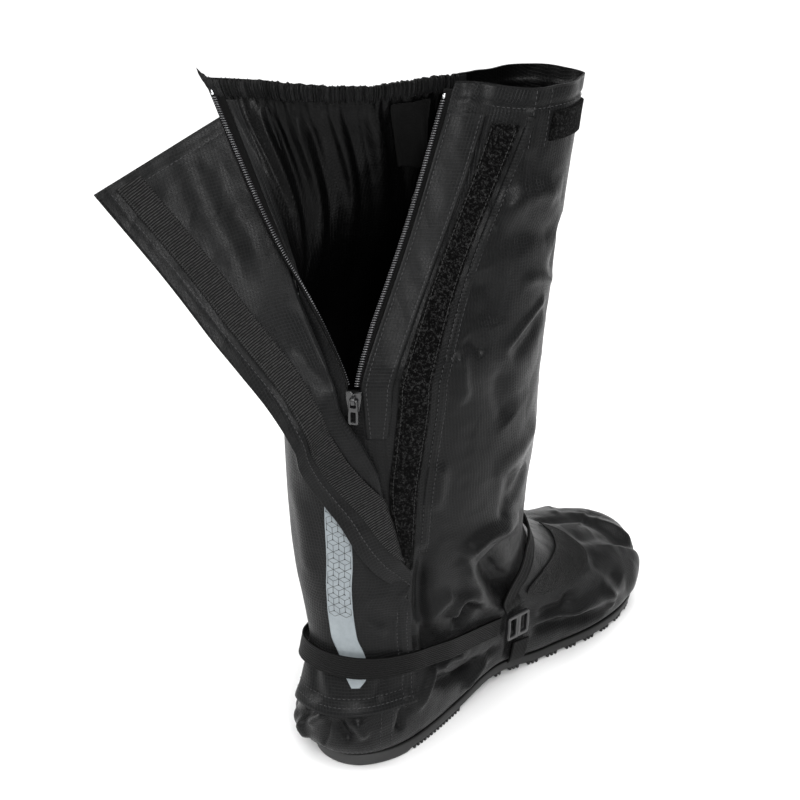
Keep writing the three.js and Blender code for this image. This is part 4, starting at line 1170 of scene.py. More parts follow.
LOOP_ROWS = (
    (0.543, 0.022, 0.037),
    (0.629, 0.022, 0.048),
    (0.748, 0.024, 0.060),
    (0.863, 0.036, 0.074),
    (0.999, 0.048, 0.087),
    (1.426, 0.055, 0.092),
    (1.877, 0.084, 0.130),
)
PLACKET_ROWS = (
    (0.884, 0.002, 0.030),
    (0.999, 0.002, 0.041),
    (1.426, 0.001, 0.050),
    (1.896, 0.001, 0.070),
)
COLLAR_PATCH_ROWS = (
    (1.812, 0.186, 0.360),
    (1.911, 0.186, 0.360),
)
INNER_TAB_ROWS = (
    (1.666, 0.600, 0.655),
    (1.922, 0.600, 0.680),
)
HEM_BAND_ROWS = (
    (1.03, 0.958, 0.984),
    (1.30, 0.958, 0.984),
    (1.93, 0.962, 0.984),
)
TAPE_SEAT = 0.5
tape_piece("loop_tape", LOOP_ROWS, TAPE_SEAT, TAPE_THICKNESS + 0.3, MAT["loop"], 170, 14, 0.35,
           slot="tape", stands_for=("loop_strip",))
tape_piece("placket_band", PLACKET_ROWS, TAPE_SEAT, 1.0, MAT["band"], 110, 12, 0.3,
           slot="nylon", stands_for=("zip_placket",))
tape_piece("collar_loop_patch", COLLAR_PATCH_ROWS, TAPE_SEAT, TAPE_THICKNESS + 0.2, MAT["loop"], 16, 60, 0.3,
           slot="tape", stands_for=("collar_patch",))
tape_piece("inner_pull_tab", INNER_TAB_ROWS, -(WALL + 1.5), 0.7, MAT["tape"], 40, 14, 0.2,
           slot="tape", stands_for=("inner_tab",))
# Folded hem inside the opening, beside the left zip row
tape_piece("zip_hem_band", HEM_BAND_ROWS, -(WALL + 1.0), 0.8, MAT["band"], 110, 8, 0.6, slot="nylon")


def flap_width_at(s):
    run = grid_uv(flap_plain)[..., 0]
    width = run[:, -1] - run[:, 0]
    return np.interp(s, np.linspace(0, 1, len(width)), width)


def flap_tape(name, rows, depth, thickness, material, up, across, from_edge=False, **kind):
    """A tape on the flap, between two distances from its seam or its free edge."""
    z, a, b = table_rows(rows, up)
    s = flap_share(z)
    width = flap_width_at(s)
    a, b = (1 - a / width, 1 - b / width) if from_edge else (a / width, b / width)
    t = a[:, None] + (b - a)[:, None] * np.linspace(0, 1, across)
    s = s[:, None]
    return sheet_piece(name, flap_point(s, t, depth), flap_point(s, t, depth + thickness), material, **kind)


# Tapes on the flap: the places are in mm from its free edge for the hooks, from its seam for the stripe.
HOOK_ROWS = (
    (0.560, 33, 17),
    (0.700, 32, 15),
    (0.900, 29, 12),
    (1.300, 28, 12),
    (1.882, 28, 12),
)
STRIPE_ROWS = (
    (0.243, 45, 50),
    (0.262, 41, 52),
    (0.282, 37, 51),
    (0.340, 30, 46),
    (0.375, 28, 44),
    (0.457, 30, 46),
    (0.576, 39, 55),
    (0.700, 44, 60),
    (0.790, 47, 63),
)
HOOK_FACE = -0.3 - TAPE_THICKNESS
flap_tape("hook_tape", HOOK_ROWS, HOOK_FACE, TAPE_THICKNESS, MAT["hook"], 200, 14, True,
          slot="tape", stands_for=("hook_strip",))
flap_tape("silver_stripe", STRIPE_ROWS, FLAP_THICKNESS + 0.1, 0.4, MAT["reflective"], 140, 18,
          slot="reflective", stands_for=("reflective_stripe",))

# Lattice of cubes on the stripe's upper part
LATTICE_EDGE = 4.0
LATTICE_FROM = 0.425
LATTICE_TO = 0.780
LATTICE_HALF = 7.3
LATTICE_DEPTH = FLAP_THICKNESS + 0.62
STRIPE_MARGIN = 0.25
LINE_WIDTH = 0.26
DOT_RADIUS = 0.5
DOTS_HALF = 7.0


def stripe_place(x, y):
    """Points of the stripe's face x mm across from its middle and y mm up from the lattice's foot."""
    z, a, b = table_rows(STRIPE_ROWS, 60)
    here = flap_share(stage_height(LATTICE_FROM) + y)
    low = np.interp(here, flap_share(z), a)
    high = np.interp(here, flap_share(z), b)
    half = (high - low) / 2 - STRIPE_MARGIN
    x = np.clip(x, -half, half)
    return flap_point(here, ((low + high) / 2 + x) / flap_width_at(here), LATTICE_DEPTH)


def build_lattice():
    """Thin lines and dots of the lattice, from hexagons with three spokes each."""
    up = float(stage_height(LATTICE_TO) - stage_height(LATTICE_FROM))
    rise = LATTICE_EDGE * math.sqrt(3) / 2
    lines, dots = [], []
    for m in range(-4, 5):
        for n in range(-3, int(up / LATTICE_EDGE) + 4):
            if (m - n) % 3:
                continue
            x, y = m * rise, (n + m / 2) * LATTICE_EDGE
            dots.append((x, y))
            ring = [(x + LATTICE_EDGE * math.sin(k * math.pi / 3), y + LATTICE_EDGE * math.cos(k * math.pi / 3))
                    for k in range(7)]
            lines.extend([(ring[k], ring[k + 1]) for k in range(6)])
            lines.extend([((x, y), ring[k]) for k in (0, 2, 4)])
    seen = {}
    for (x0, y0), (x1, y1) in lines:
        key = (round((x0 + x1) * 4), round((y0 + y1) * 4))
        seen[key] = (x0, y0, x1, y1)
    kept = np.array([e for e in seen.values() if min(e[1], e[3]) > 0 and max(e[1], e[3]) < up
                     and abs(e[0] + e[2]) < 2 * LATTICE_HALF])
    start, end = kept[:, :2], kept[:, 2:]
    ahead = (end - start) / np.linalg.norm(end - start, axis=1)[:, None]
    side = np.stack([-ahead[:, 1], ahead[:, 0]], -1) * LINE_WIDTH / 2
    corners = np.stack([start - side, end - side, end + side, start + side], 1)
    turns = np.arange(6) * math.pi / 3
    spots = np.array([d for d in dots if 0 < d[1] < up and abs(d[0]) < DOTS_HALF])
    discs = spots[:, None, :] + DOT_RADIUS * np.stack([np.cos(turns), np.sin(turns)], -1)
    verts = np.concatenate([stripe_place(c[..., 0], c[..., 1]).reshape(-1, 3) for c in (corners, discs)])
    line_faces = np.arange(len(kept) * 4).reshape(-1, 4)
    disc_faces = np.arange(len(spots) * 6).reshape(-1, 6) + len(kept) * 4
    make_piece("stripe_lattice", verts, line_faces.tolist() + disc_faces.tolist(), MAT["ink"])


build_lattice()


def scatter(name, shape, centres, frames, material, **kind):
    """Copies of a small shape (points, faces) at centres, turned by frames of three rows."""
    points, faces = shape
    count = len(points)
    verts = np.einsum("pk,nkc->npc", points, frames) + centres[:, None, :]
    lists = []
    for n in range(len(centres)):
        lists.extend([[v + n * count for v in face] for face in faces])
    return make_piece(name, verts.reshape(-1, 3), lists, material, **kind)


def bead(length, width, height, rings=4, sides=6):
    """A rounded bead, longest along its first axis."""
    points = []
    for i in range(rings):
        a = math.pi * (i + 0.5) / rings
        for j in range(sides):
            b = 2 * math.pi * j / sides
            x = -math.cos(a) * length / 2
            round_off = math.sin(a) ** 0.6
            points.append((x, math.cos(b) * round_off * width / 2, math.sin(b) * round_off * height / 2))
    faces = []
    for i in range(rings - 1):
        for j in range(sides):
            k = (j + 1) % sides
            faces.append([i * sides + j, i * sides + k, (i + 1) * sides + k, (i + 1) * sides + j])
    faces.append(list(range(sides))[::-1])
    faces.append([(rings - 1) * sides + j for j in range(sides)])
    return np.array(points), faces


def resample(line, pitch, beside):
    """Points at an even pitch along a line, their directions, and the direction given beside each."""
    run = run_along(line)
    count = max(2, int(run[-1] / pitch))
    at = (np.arange(count) + 0.5) * run[-1] / count
    forward = unit(read_line(at + 0.3, run, line) - read_line(at - 0.3, run, line))
    return read_line(at, run, line), forward, unit(read_line(at, run, beside))


STITCH_RISE = 0.12
stitch_sets = {"thread": [], "thread_dark": []}


def stitch_line(line, out, thread="thread", pitch=3.0):
    """Adds a row of stitches along a line; out holds the outward direction at each of its points."""
    points, along, normal = resample(line, pitch, out)
    side = unit(np.cross(normal, along))
    normal = np.cross(along, side)
    stitch_sets[thread].append((points + normal * STITCH_RISE, np.stack([along, side, normal], 1)))


# Zip
SLIDER_LENGTH = 12.0
SLIDER_WIDTH = 9.0
SLIDER_THICKNESS = 5.0
PULL_THICKNESS = 1.6
CHAIN_WIDTH = 4.6
CHAIN_INSET = 0.35
CHAIN_SPREAD = 36.0
STOP_LENGTH = 4.0
CHAIN_FOOT = SLIDER_HEIGHT + 2.0
CHAIN_TOP = SHAFT_HEIGHT - STOP_LENGTH - 6.0
TOOTH_PITCH = 1.45


def chain_points(left, z, share, depth):
    """Points along a zip row at a share of its width, with directions away from the edge and outwards."""
    edge, normal = skin_base(z, np.full(len(z), 1.0 if left else 0.0))
    beside = skin_base(z, np.full(len(z), 0.99 if left else 0.01))[0]
    along = unit(edge - beside)
    opened = np.clip((z - SLIDER_HEIGHT) / CHAIN_SPREAD, 0, 1)
    width = CHAIN_WIDTH * (0.45 + 0.55 * opened)
    beyond = (-CHAIN_WIDTH * CHAIN_INSET if left else SEAT) + width * share
    off = depth - WALL / 2
    back_u = -np.minimum(beyond, 0) / (COLLAR_GIRTH * SHAFT_DEPTH)
    inside = skin_base(z, 1 - back_u if left else back_u)
    past = edge + along * beyond[:, None] + normal * off
    points = np.where((beyond < 0)[:, None], inside[0] + inside[1] * off, past)
    return points, along, normal


def build_zip(side, face, inset, share):
    """One side of the zip: its tape, the teeth on one face of it, and the folded metal stop on top."""
    left = side == "left"
    # The woven tape is wider than the row of teeth, on the side of the cloth.
    z = np.linspace(CHAIN_FOOT, CHAIN_TOP + STOP_LENGTH + 2, 140)
    grid = np.stack([chain_points(left, z, place, inset)[0] for place in np.linspace(-0.9, 0.98, 9)], 1)
    lift = chain_points(left, z, 0.5, 0.0)[2][:, None, :] * 0.25
    row = (f"zip_chain_{side}",)
    sheet_piece(f"zip_tape_{side}", grid - lift, grid + lift, MAT["tape"], slot="tape", stands_for=row)
    line, along, _ = chain_points(left, np.linspace(CHAIN_FOOT, CHAIN_TOP, 260), share, inset + 0.7 * face)
    points, forward, across = resample(line, TOOTH_PITCH, along)
    normal = unit(np.cross(across, forward))
    frames = np.stack([across, np.cross(normal, across), normal], 1)
    tooth = bead(3.0, 0.85, 2.0, 5, 8)
    scatter(f"zip_teeth_{side}", tooth, points, frames, MAT["teeth"], slot="zip", stands_for=row)
    z = CHAIN_TOP + np.array([0.4, STOP_LENGTH * 0.5, STOP_LENGTH])
    spots, away, _ = chain_points(left, z, share, inset + 0.6 * face)
    forward = unit(spots[2] - spots[0])
    normal = unit(np.cross(away[1], forward))
    frame_rows = np.stack([forward, np.cross(normal, forward), normal])[None]
    scatter(f"zip_top_stop_{side}", bead(3.4, 2.0, 1.8, 8, 12), spots[1][None], frame_rows, MAT["metal"],
            slot="metal", stands_for=(f"zip_stop_{side}",))


# The left row shows its inner face, set in behind the cloth's edge, and the right row its outer face.
build_zip("left", -1.0, -0.9, 0.62)
build_zip("right", 1.0, 0.0, 0.72)


def flat_shape(outlines, thickness, bevel, frame_rows, origin):
    """A plate with rounded edges from closed outlines (the later ones are holes), set in a frame."""
    curve = bpy.data.curves.new("plate", "CURVE")
    curve.dimensions = "2D"
    curve.fill_mode = "BOTH"
    curve.extrude = max(thickness / 2 - bevel, 0.05)
    curve.bevel_depth = bevel
    curve.bevel_resolution = 3
    curve.offset = -bevel
    for outline in outlines:
        spline = curve.splines.new("POLY")
        spline.points.add(len(outline) - 1)
        for point, (x, y) in zip(spline.points, outline):
            point.co = (x, y, 0, 1)
        spline.use_cyclic_u = True
    holder = bpy.data.objects.new("plate_curve", curve)
    bpy.context.scene.collection.objects.link(holder)
    bpy.context.view_layer.update()
    mesh = bpy.data.meshes.new_from_object(holder.evaluated_get(bpy.context.evaluated_depsgraph_get()))
    points = np.array([tuple(v.co) for v in mesh.vertices])
    faces = [list(p.vertices) for p in mesh.polygons]
    bpy.data.objects.remove(holder)
    bpy.data.curves.remove(curve)
    bpy.data.meshes.remove(mesh)
    return points @ frame_rows + origin, faces


def rounded_box(width, length, radius, centre=(0, 0)):
    """Outline of a box with rounded corners."""
    steps = 5
    out = []
    for qx, qy, start in ((1, 1, 0), (-1, 1, 90), (-1, -1, 180), (1, -1, 270)):
        cx = centre[0] + qx * (width / 2 - radius)
        cy = centre[1] + qy * (length / 2 - radius)
        for k in range(steps + 1):
            a = math.radians(start + 90 * k / steps)
            out.append((cx + radius * math.cos(a), cy + radius * math.sin(a)))
    return out


def join_parts(parts):
    """One set of points and faces from several."""
    verts = []
    faces = []
    start = 0
    for points, quads in parts:
        verts.append(points)
        faces.extend([[v + start for v in face] for face in quads])
        start += len(points)
    return np.concatenate(verts), faces


def moulded_piece(name, parts, material, **kind):
    """A piece from several parts, shaded smooth with crisp corners."""
    verts, faces = join_parts(parts)
    mesh = make_piece(name, verts, faces, material, **kind).data
    sharp = math.cos(math.radians(40))
    normals = [p.normal.copy() for p in mesh.polygons]
    seen = {}
    for p in mesh.polygons:
        for key in p.edge_keys:
            seen.setdefault(key, []).append(p.index)
    for edge in mesh.edges:
        pair = seen.get(edge.key, [])
        edge.use_edge_sharp = len(pair) == 2 and normals[pair[0]].dot(normals[pair[1]]) < sharp
    mesh.update()


def slider_frame():
    """Middle of the slider's back face, and its directions across, up and out."""
    u = -ZIP_GAP / (360 - 2 * ZIP_GAP)
    z = SLIDER_HEIGHT - SLIDER_LENGTH / 2
    point, normal = skin_base(np.array([z]), np.array([u]))
    out = normal[0].copy()
    out[2] = 0
    out = out / np.linalg.norm(out)
    up = np.array([0.0, 0.0, 1.0])
    across = np.cross(up, out)
    return point[0] + out * LAYER, np.stack([across, up, out])


def build_slider():
    """The slider's two plates, neck and bridge, and the pull tab that hangs on the bridge."""
    origin, rows = slider_frame()
    across, up, out = rows
    half = SLIDER_WIDTH / 2
    tail = half * 0.72
    plate = [(-tail, -6), (tail, -6), (tail + 0.4, -3), (half, 1.8), (half, 6), (1.6, 6), (0, 4.4), (-1.6, 6),
             (-half, 6), (-half, 1.8), (-tail - 0.4, -3)]
    neck = rounded_box(3.4, 5.0, 1.2, (0, 1.2))
    arch = [(-2.6, 0), (-2.5, 2.2), (-1.6, 3.5), (0, 3.9), (1.6, 3.5), (2.5, 2.2), (2.6, 0)]
    eye = rounded_box(2.5, 2.5, 1.0, (0, 1.45))
    parts = [
        flat_shape([plate], 1.2, 0.35, rows, origin + out * 0.75),
        flat_shape([plate], 1.0, 0.35, rows, origin + out * 2.0),
        flat_shape([neck], 1.6, 0.2, rows, origin + out * 1.4),
        flat_shape([arch, eye], 2.3, 0.3, np.stack([up, out, across]), origin + out * 2.4 + up * 1.2),
    ]
    moulded_piece("slider_body", parts, MAT["zip"], slot="zip", stands_for=("zip_slider",))
    # Pull: an open frame with a narrow window, hung on its pin
    pivot = origin + up * 1.2 + out * (SLIDER_THICKNESS / 2 + 1.3)
    tab = [(-2.2, 0.9), (2.2, 0.9), (2.6, 0.3), (2.7, -5), (3.0, -8), (3.0, -14.2), (2.2, -15), (-2.2, -15),
           (-3.0, -14.2), (-3.0, -8), (-2.7, -5), (-2.6, 0.3)]
    gap = rounded_box(3.3, 3.0, 0.5, (0, -2.5))
    window = rounded_box(2.9, 6.6, 0.5, (0, -10.2))
    pin, pin_faces = bead(4.0, 1.7, 1.7, 8, 12)
    parts = [flat_shape([tab, gap, window], PULL_THICKNESS, 0.4, rows, pivot), (pin @ rows + pivot, pin_faces)]
    moulded_piece("pull_frame", parts, MAT["zip"], body_name="pull", slot="zip", stands_for=("zip_pull",))


build_slider()


# Straps: rows of angle and height share, with how far they stand off the skin
OVER_FLAP = FLAP_SEAT + FLAP_THICKNESS + 3 * LAYER + 0.7
ON_SKIN = 2 * LAYER
ANKLE_ROWS = (
    (-81, 0.26, ON_SKIN),
    (-70, 0.45, ON_SKIN),
    (-50, 0.66, ON_SKIN),
    (-32, 0.745, ON_SKIN),
    (-18, 0.78, OVER_FLAP - LAYER),
    (0, 0.795, OVER_FLAP),
    (21, 0.785, OVER_FLAP),
    (34, 0.77, OVER_FLAP),
    (49, 0.745, OVER_FLAP),
    (61, 0.70, OVER_FLAP),
    (73, 0.62, 2 * ON_SKIN),
    (82, 0.56, ON_SKIN),
)
ON_FOLDS = 1.6 * ON_SKIN
INSTEP_ROWS = (
    (92, 0.70, ON_FOLDS),
    (97, 0.80, ON_FOLDS),
    (108, 0.90, ON_FOLDS),
    (125, 0.99, ON_FOLDS),
    (145, 1.06, ON_FOLDS),
    (180, 1.12, ON_FOLDS),
    (215, 1.06, ON_FOLDS),
    (235, 0.97, ON_FOLDS),
    (252, 0.80, ON_FOLDS),
    (262, 0.55, ON_FOLDS),
    (266, 0.30, ON_FOLDS),
)
STRAP_FOLLOW = (-0.8, 2.4)
ANCHOR_ROWS = (
    (88.5, 0.34, ON_SKIN),
    (88.0, 0.25, ON_SKIN),
    (87.5, 0.17, ON_SKIN),
)


def strap_piece(name, rows, steps, node, pleat=0.0):
    """Webbing along rows, standing off the skin and following its relief in part."""
    rows = np.array(rows, float)
    keys = np.arange(float(len(rows)))
    angle, share, off = (smooth(keys, rows[:, i], np.linspace(0, keys[-1], steps)) for i in range(3))
    station = station_at(angle, share * FOOT_HEIGHT)
    point, normal = foot_base(station, angle)
    follow = np.clip(relief(station, angle, point), *STRAP_FOLLOW)
    middle = point + normal * (off + follow)[:, None]
    for _ in range(16):
        middle[1:-1] = 0.5 * middle[1:-1] + 0.25 * (middle[:-2] + middle[2:])
    across = unit(np.cross(normal, unit(np.gradient(middle, axis=0))))
    t = np.linspace(-0.5, 0.5, 15)
    inner = middle[:, None, :] + across[:, None, :] * (t * STRAP_WIDTH)[None, :, None]
    # Low welts along both edges, with pleats between them where they are asked for
    rise = 0.18 * np.exp(-((np.abs(t) - 0.46) / 0.05) ** 2) + pleat * np.abs(np.sin(t * np.pi * 3))
    outer = inner + normal[:, None, :] * (STRAP_THICKNESS + rise)[None, :, None]
    return sheet_piece(name, inner, outer, MAT["webbing"], slot="webbing", stands_for=(node,))


strap_piece("heel_webbing", ANKLE_ROWS, 220, "ankle_strap")
strap_piece("instep_webbing", INSTEP_ROWS, 200, "instep_strap", 0.5)
strap_piece("anchor_webbing", ANCHOR_ROWS, 30, "anchor_tab")


BUCKLE_HEIGHT = 0.50 * FOOT_HEIGHT
BUCKLE_ANGLE = 87.5


def buckle_frame():
    """Middle of the buckle, and its directions along, up and out."""
    def at(angle, off):
        point, normal = foot_base(station_at(np.array([angle]), np.array([BUCKLE_HEIGHT])), np.array([angle]))
        return point[0] + normal[0] * off

    seat = at(BUCKLE_ANGLE, ON_SKIN)
    out = unit(at(BUCKLE_ANGLE, ON_SKIN + 1) - seat)
    side = at(BUCKLE_ANGLE + 2, ON_SKIN) - seat
    up = unit(np.cross(out, side))
    return seat + out * 1.5, np.stack([np.cross(up, out), up, out])


def build_buckle():
    """Ladder-lock buckle: a frame with two windows, and three rounded bars."""
    origin, rows = buckle_frame()
    outline = rounded_box(20, 19, 2.2)
    windows = [rounded_box(5.4, 13.8, 0.8, (x, 0)) for x in (-5.0, 5.0)]
    parts = [flat_shape([outline, *windows], 3.0, 0.6, rows, origin)]
    turned = np.stack([rows[1], rows[2], rows[0]])
    bar, bar_faces = bead(17.5, 2.3, 2.6, 10, 12)
    for x in (-8.7, 0.0, 8.7):
        parts.append((bar @ turned + origin + rows[0] * x + rows[2] * 1.0, bar_faces))
    moulded_piece("ladder_buckle", parts, MAT["buckle"], slot="buckle", stands_for=("ankle_buckle",))


build_buckle()


# Wear patch: stations, and the angles that it runs between
PATCH_ROWS = (
    (4.45, 106, 116),
    (4.65, 102, 125),
    (5.05, 100, 137),
    (5.55, 103, 150),
    (5.95, 110, 166),
    (6.25, 122, 176),
)


PATCH_THICKNESS = 0.8


def build_patch():
    rows = np.array(PATCH_ROWS, float)
    s = np.linspace(rows[0, 0], rows[-1, 0], 70)
    a = smooth(rows[:, 0], rows[:, 1], s)
    b = smooth(rows[:, 0], rows[:, 2], s)
    t = np.linspace(0, 1, 90)
    angle = a[:, None] + (b - a)[:, None] * t
    inner, normal = cloth(s[:, None] * np.ones(len(t)), angle, 0.35)
    sheet_piece("wear_patch", inner, inner + normal * PATCH_THICKNESS, MAT["patch"], slot="patch",
                stands_for=("instep_patch",))


build_patch()


def sole_line(angle, margin):
    """The sole's outline by angle, a margin outside its own edge."""
    th = np.radians(angle)
    t = (1 - np.cos(th)) / 2
    side = np.sin(th)
    across = (0.5 * BALL_WIDTH + SOLE_INSET + margin) * fullness(t, side >= 0) * side
    back = y_of(0.0) - SOLE_INSET - margin
    front = y_of(0.995) + SOLE_INSET + margin
    return across, back + (front - back) * t


# Sole. Its band reaches down by SKIRT, and to the floor round the heel.
SKIRT = 1.8
# Profile of the sole from its underside's edge, up the rounded band and in over the top:
# how far out, how far up, and the share of the reach down
SOLE_PROFILE = (
    (-3.4, 0.0, 0.0),
    (-2.6, 0.0, 1.0),
    (-1.2, 0.2, 1.0),
    (-0.4, 1.0, 1.0),
    (0.1, 2.4, 0.8),
    (0.35, 3.4, 0.4),
    (0.35, 4.4, 0.0),
    (0.1, 5.0, 0.0),
    (-0.5, 5.35, 0.0),
    (-1.4, PLATE, 0.0),
    (-3.0, PLATE, 0.0),
)


def smooth_heel(angle):
    """1 round the back of the heel, where the band has no teeth, and 0 elsewhere."""
    turn = (np.asarray(angle, float) + 180) % 360 - 180
    return ease((44 - turn) / 5) * ease((turn + 75) / 8)


def build_sole():
    count = 420
    angle = np.arange(count) * 360 / count
    drop = SKIRT + (LUG_HEIGHT - SKIRT) * smooth_heel(angle)
    rings = []
    for margin, up, reach in SOLE_PROFILE:
        x, y = sole_line(angle, margin)
        rings.append(np.stack([x, y, LUG_HEIGHT + sole_rise(y) + up - reach * drop], -1))
    faces = grid_faces(len(rings), count, wrap=True).tolist()
    # The underside and the top close with strips from side to side.
    for ring, flip in ((0, False), (len(rings) - 1, True)):
        for i in range(count // 2):
            loop = (i, i + 1, (count - i - 1) % count, (count - i) % count)
            face = [ring * count + v for v in dict.fromkeys(loop)]
            if len(face) >= 3:
                faces.append(face if flip else face[::-1])
    make_piece("sole_plate", np.stack(rings), faces, MAT["rubber"], slot="rubber", stands_for=("outsole",))


build_sole()


BOX_FACES = [[0, 1, 2, 3], [7, 6, 5, 4], [0, 4, 5, 1], [1, 5, 6, 2], [2, 6, 7, 3], [3, 7, 4, 0]]
LUG_STRETCHES = ((0.035, 0.27), (0.56, 0.94))
LUG_PITCH = 9.0
LUG_GAP = 1.2
LUG_INSET = -4.5
# Corners of a lug's cross-section: along the sole, up, and how far its end draws in
LUG_CORNERS = (
    (-1.9, 0, 0.4),
    (1.9, 0, 0.4),
    (2.5, LUG_HEIGHT + 0.8, 0),
    (-2.5, LUG_HEIGHT + 0.8, 0),
)
TOOTH_STEP = 3.5
TOOTH_INSET = -0.6
TOOTH_HALF = 0.7
TOOTH_ENDS = (0.1, -3.4)
# Corners of an edge tooth's cross-section: side, up, and how much wider than its foot
TOOTH_CORNERS = (
    (-1, 0.4, 0.0),
    (1, 0.4, 0.0),
    (1, LUG_HEIGHT + 0.6, 0.7),
    (-1, LUG_HEIGHT + 0.6, 0.7),
)
WAIST = (0.30, 0.42)
SOLE_MIDDLE = 110


def cross_lugs():
    """Rows of bars under the heel and the forefoot, parted in the middle."""
    span = np.linspace(0, 180, 721)
    medial_x, medial_y = sole_line(span, LUG_INSET)
    lateral_x, lateral_y = sole_line(360 - span, LUG_INSET)
    parts = []
    for low, high in LUG_STRETCHES:
        for i in range(int((high - low) * SOLE_LENGTH // LUG_PITCH) + 1):
            y = y_of(low) + i * LUG_PITCH
            medial = np.interp(y, medial_y, medial_x)
            lateral = np.interp(y, lateral_y, lateral_x)
            ground = float(sole_rise(np.array(y)))
            for start, end in ((lateral, -LUG_GAP), (LUG_GAP, medial)):
                box = [(start + inset, y + dy, ground + dz) for dy, dz, inset in LUG_CORNERS]
                box += [(end - inset, y + dy, ground + dz) for dy, dz, inset in LUG_CORNERS]
                parts.append((np.array(box), BOX_FACES))
    return parts


def edge_teeth():
    """Small teeth along the sole's edge at an even pitch, in groups and left out under the waist."""
    fine = np.linspace(0, 360, 2881)
    x, y = sole_line(fine, TOOTH_INSET)
    run = np.concatenate([[0], np.cumsum(np.hypot(np.diff(x), np.diff(y)))])
    total = int(run[-1] / TOOTH_STEP)
    parts = []
    for k in range(total):
        at = (k + 0.5) * run[-1] / total
        angle, px, py = (float(np.interp(at, run, values)) for values in (fine, x, y))
        share = (py + HEEL_REACH) / SOLE_LENGTH
        in_gap = share >= WAIST[1] and k % 5 in (0, 1)
        if smooth_heel(angle) > 0.3 or WAIST[0] < share < WAIST[1] or in_gap:
            continue
        ahead = np.subtract(sole_line(angle + 0.5, TOOTH_INSET), sole_line(angle - 0.5, TOOTH_INSET))
        tangent = ahead / np.linalg.norm(ahead)
        outward = np.array([tangent[1], -tangent[0]])
        if outward @ np.array([px, py - SOLE_MIDDLE]) < 0:
            outward = -outward
        ground = float(sole_rise(np.array(py)))
        box = []
        for near in TOOTH_ENDS:
            for side, dz, grow in TOOTH_CORNERS:
                spot = np.array([px, py]) + outward * near + tangent * side * (TOOTH_HALF + grow)
                box.append((spot[0], spot[1], ground + dz))
        parts.append((np.array(box), BOX_FACES))
    return parts


def build_lugs():
    verts, faces = join_parts(cross_lugs() + edge_teeth())
    piece = make_piece("sole_lugs", verts, faces, MAT["rubber"], slot="rubber", stands_for=("outsole",))
    piece.data.polygons.foreach_set("use_smooth", np.zeros(len(piece.data.polygons), bool))


build_lugs()


# Gathered tunnel of the collar
TIP_STEPS = 12
TIP_LENGTH = 8.0
TIP_RISE = 9.0


def build_tunnel():
    cols = 900
    u = np.linspace(TUNNEL_FROM, 1.0, cols)
    inside = ease((u - TUNNEL_FROM) / 0.04)
    pleat = gather_wave(u, 1.0)
    sway = gather_relief(np.full(cols, SHAFT_HEIGHT - TUNNEL_HEIGHT), u)
    fine = value_noise(np.stack([u * 900, u * 0, u * 0], -1), 1.6, 31)
    ring = []
    turns = np.linspace(0, 2 * np.pi, 19)[:-1]
    for a in turns:
        half = TUNNEL_HEIGHT / 2 + 0.6 * inside * (fine + 0.8 * pleat)
        z = SHAFT_HEIGHT - TUNNEL_HEIGHT / 2 + half * np.sin(a) - 0.2
        point, normal = skin_base(np.clip(z, SHAFT_HEIGHT - TUNNEL_HEIGHT - 1, SHAFT_HEIGHT), u)
        swell = (1.2 + 0.9 * inside) * np.cos(a)
        crush = inside * (0.75 * pleat + 0.35 * fine) * np.sign(np.cos(a)) * np.abs(np.cos(a)) ** 0.5
        point = point + normal * (swell + crush + sway - WALL / 2)[:, None]
        point[:, 2] = z
        ring.append(point)
    grid = np.stack(ring, 0)
    # Its end stands up past the zip, pressed flat and frayed.
    tip = np.arange(1, TIP_STEPS + 1) / TIP_STEPS
    ahead = unit(grid[:, -1].mean(0) - grid[:, -12].mean(0))
    middle = grid[:, -1].mean(0)
    around = grid[:, -1] - middle
    for share in tip:
        fray = 1 + 0.35 * value_noise(around * 1.7 + share * 9, 1.1, 47)[:, None]
        size = (1 - 0.62 * share) * fray
        spot = middle + ahead * (TIP_LENGTH * share) + np.array([0, 0, TIP_RISE * share ** 1.4])
        grid = np.concatenate([grid, (spot + around * size)[:, None, :]], 1)
    cols += TIP_STEPS
    verts = grid.reshape(-1, 3)
    rows = len(ring)
    index = np.arange(rows * cols).reshape(rows, cols)
    after = np.roll(index, -1, axis=0)
    quads = np.stack([index[:, :-1], index[:, 1:], after[:, 1:], after[:, :-1]], -1).reshape(-1, 4)
    faces = quads.tolist() + [index[:, 0].tolist(), index[::-1, -1].tolist()]
    uv = grid_uv(grid)
    make_piece("collar_tunnel", verts, faces, MAT["nylon"], uv, slot="nylon", stands_for=("upper",))


build_tunnel()


# Stitches and seams
def skin_line(stations, angles, lift=0.0, count=200):
    keys = np.arange(float(len(stations)))
    k = np.linspace(0, keys[-1], count)
    points, normals = cloth(np.interp(k, keys, stations), np.interp(k, keys, angles), lift)
    return points, normals


def tape_side(rows, column, off, lift=0.0, low=None, high=None):
    """A line off mm beside one edge of a tape on the skin."""
    rows = np.array(rows, float)
    keys = stage_height(rows[:, 0])
    z = np.linspace(keys[0] if low is None else low, keys[-1] if high is None else high, 200)
    u = smooth(keys, rows[:, column], z) + off / (COLLAR_GIRTH * SHAFT_DEPTH)
    angle = angle_at(u)
    return cloth(station_of(z, angle), angle, lift)


def flap_line(distance, depth, low, high):
    """A line on the flap at a distance from its free edge, on its inner or outer face."""
    z = np.linspace(stage_height(low), stage_height(high), 160)
    s = flap_share(z)
    t = 1 - distance / flap_width_at(s)
    face = flap_point(s, t, depth)
    return face, face - flap_point(s, t, depth - 1)


def flap_cross(s, low, high, depth):
    t = np.linspace(low, high, 120)
    here = np.full(120, s)
    face = flap_point(here, t, depth)
    return face, face - flap_point(here, t, depth - 1)


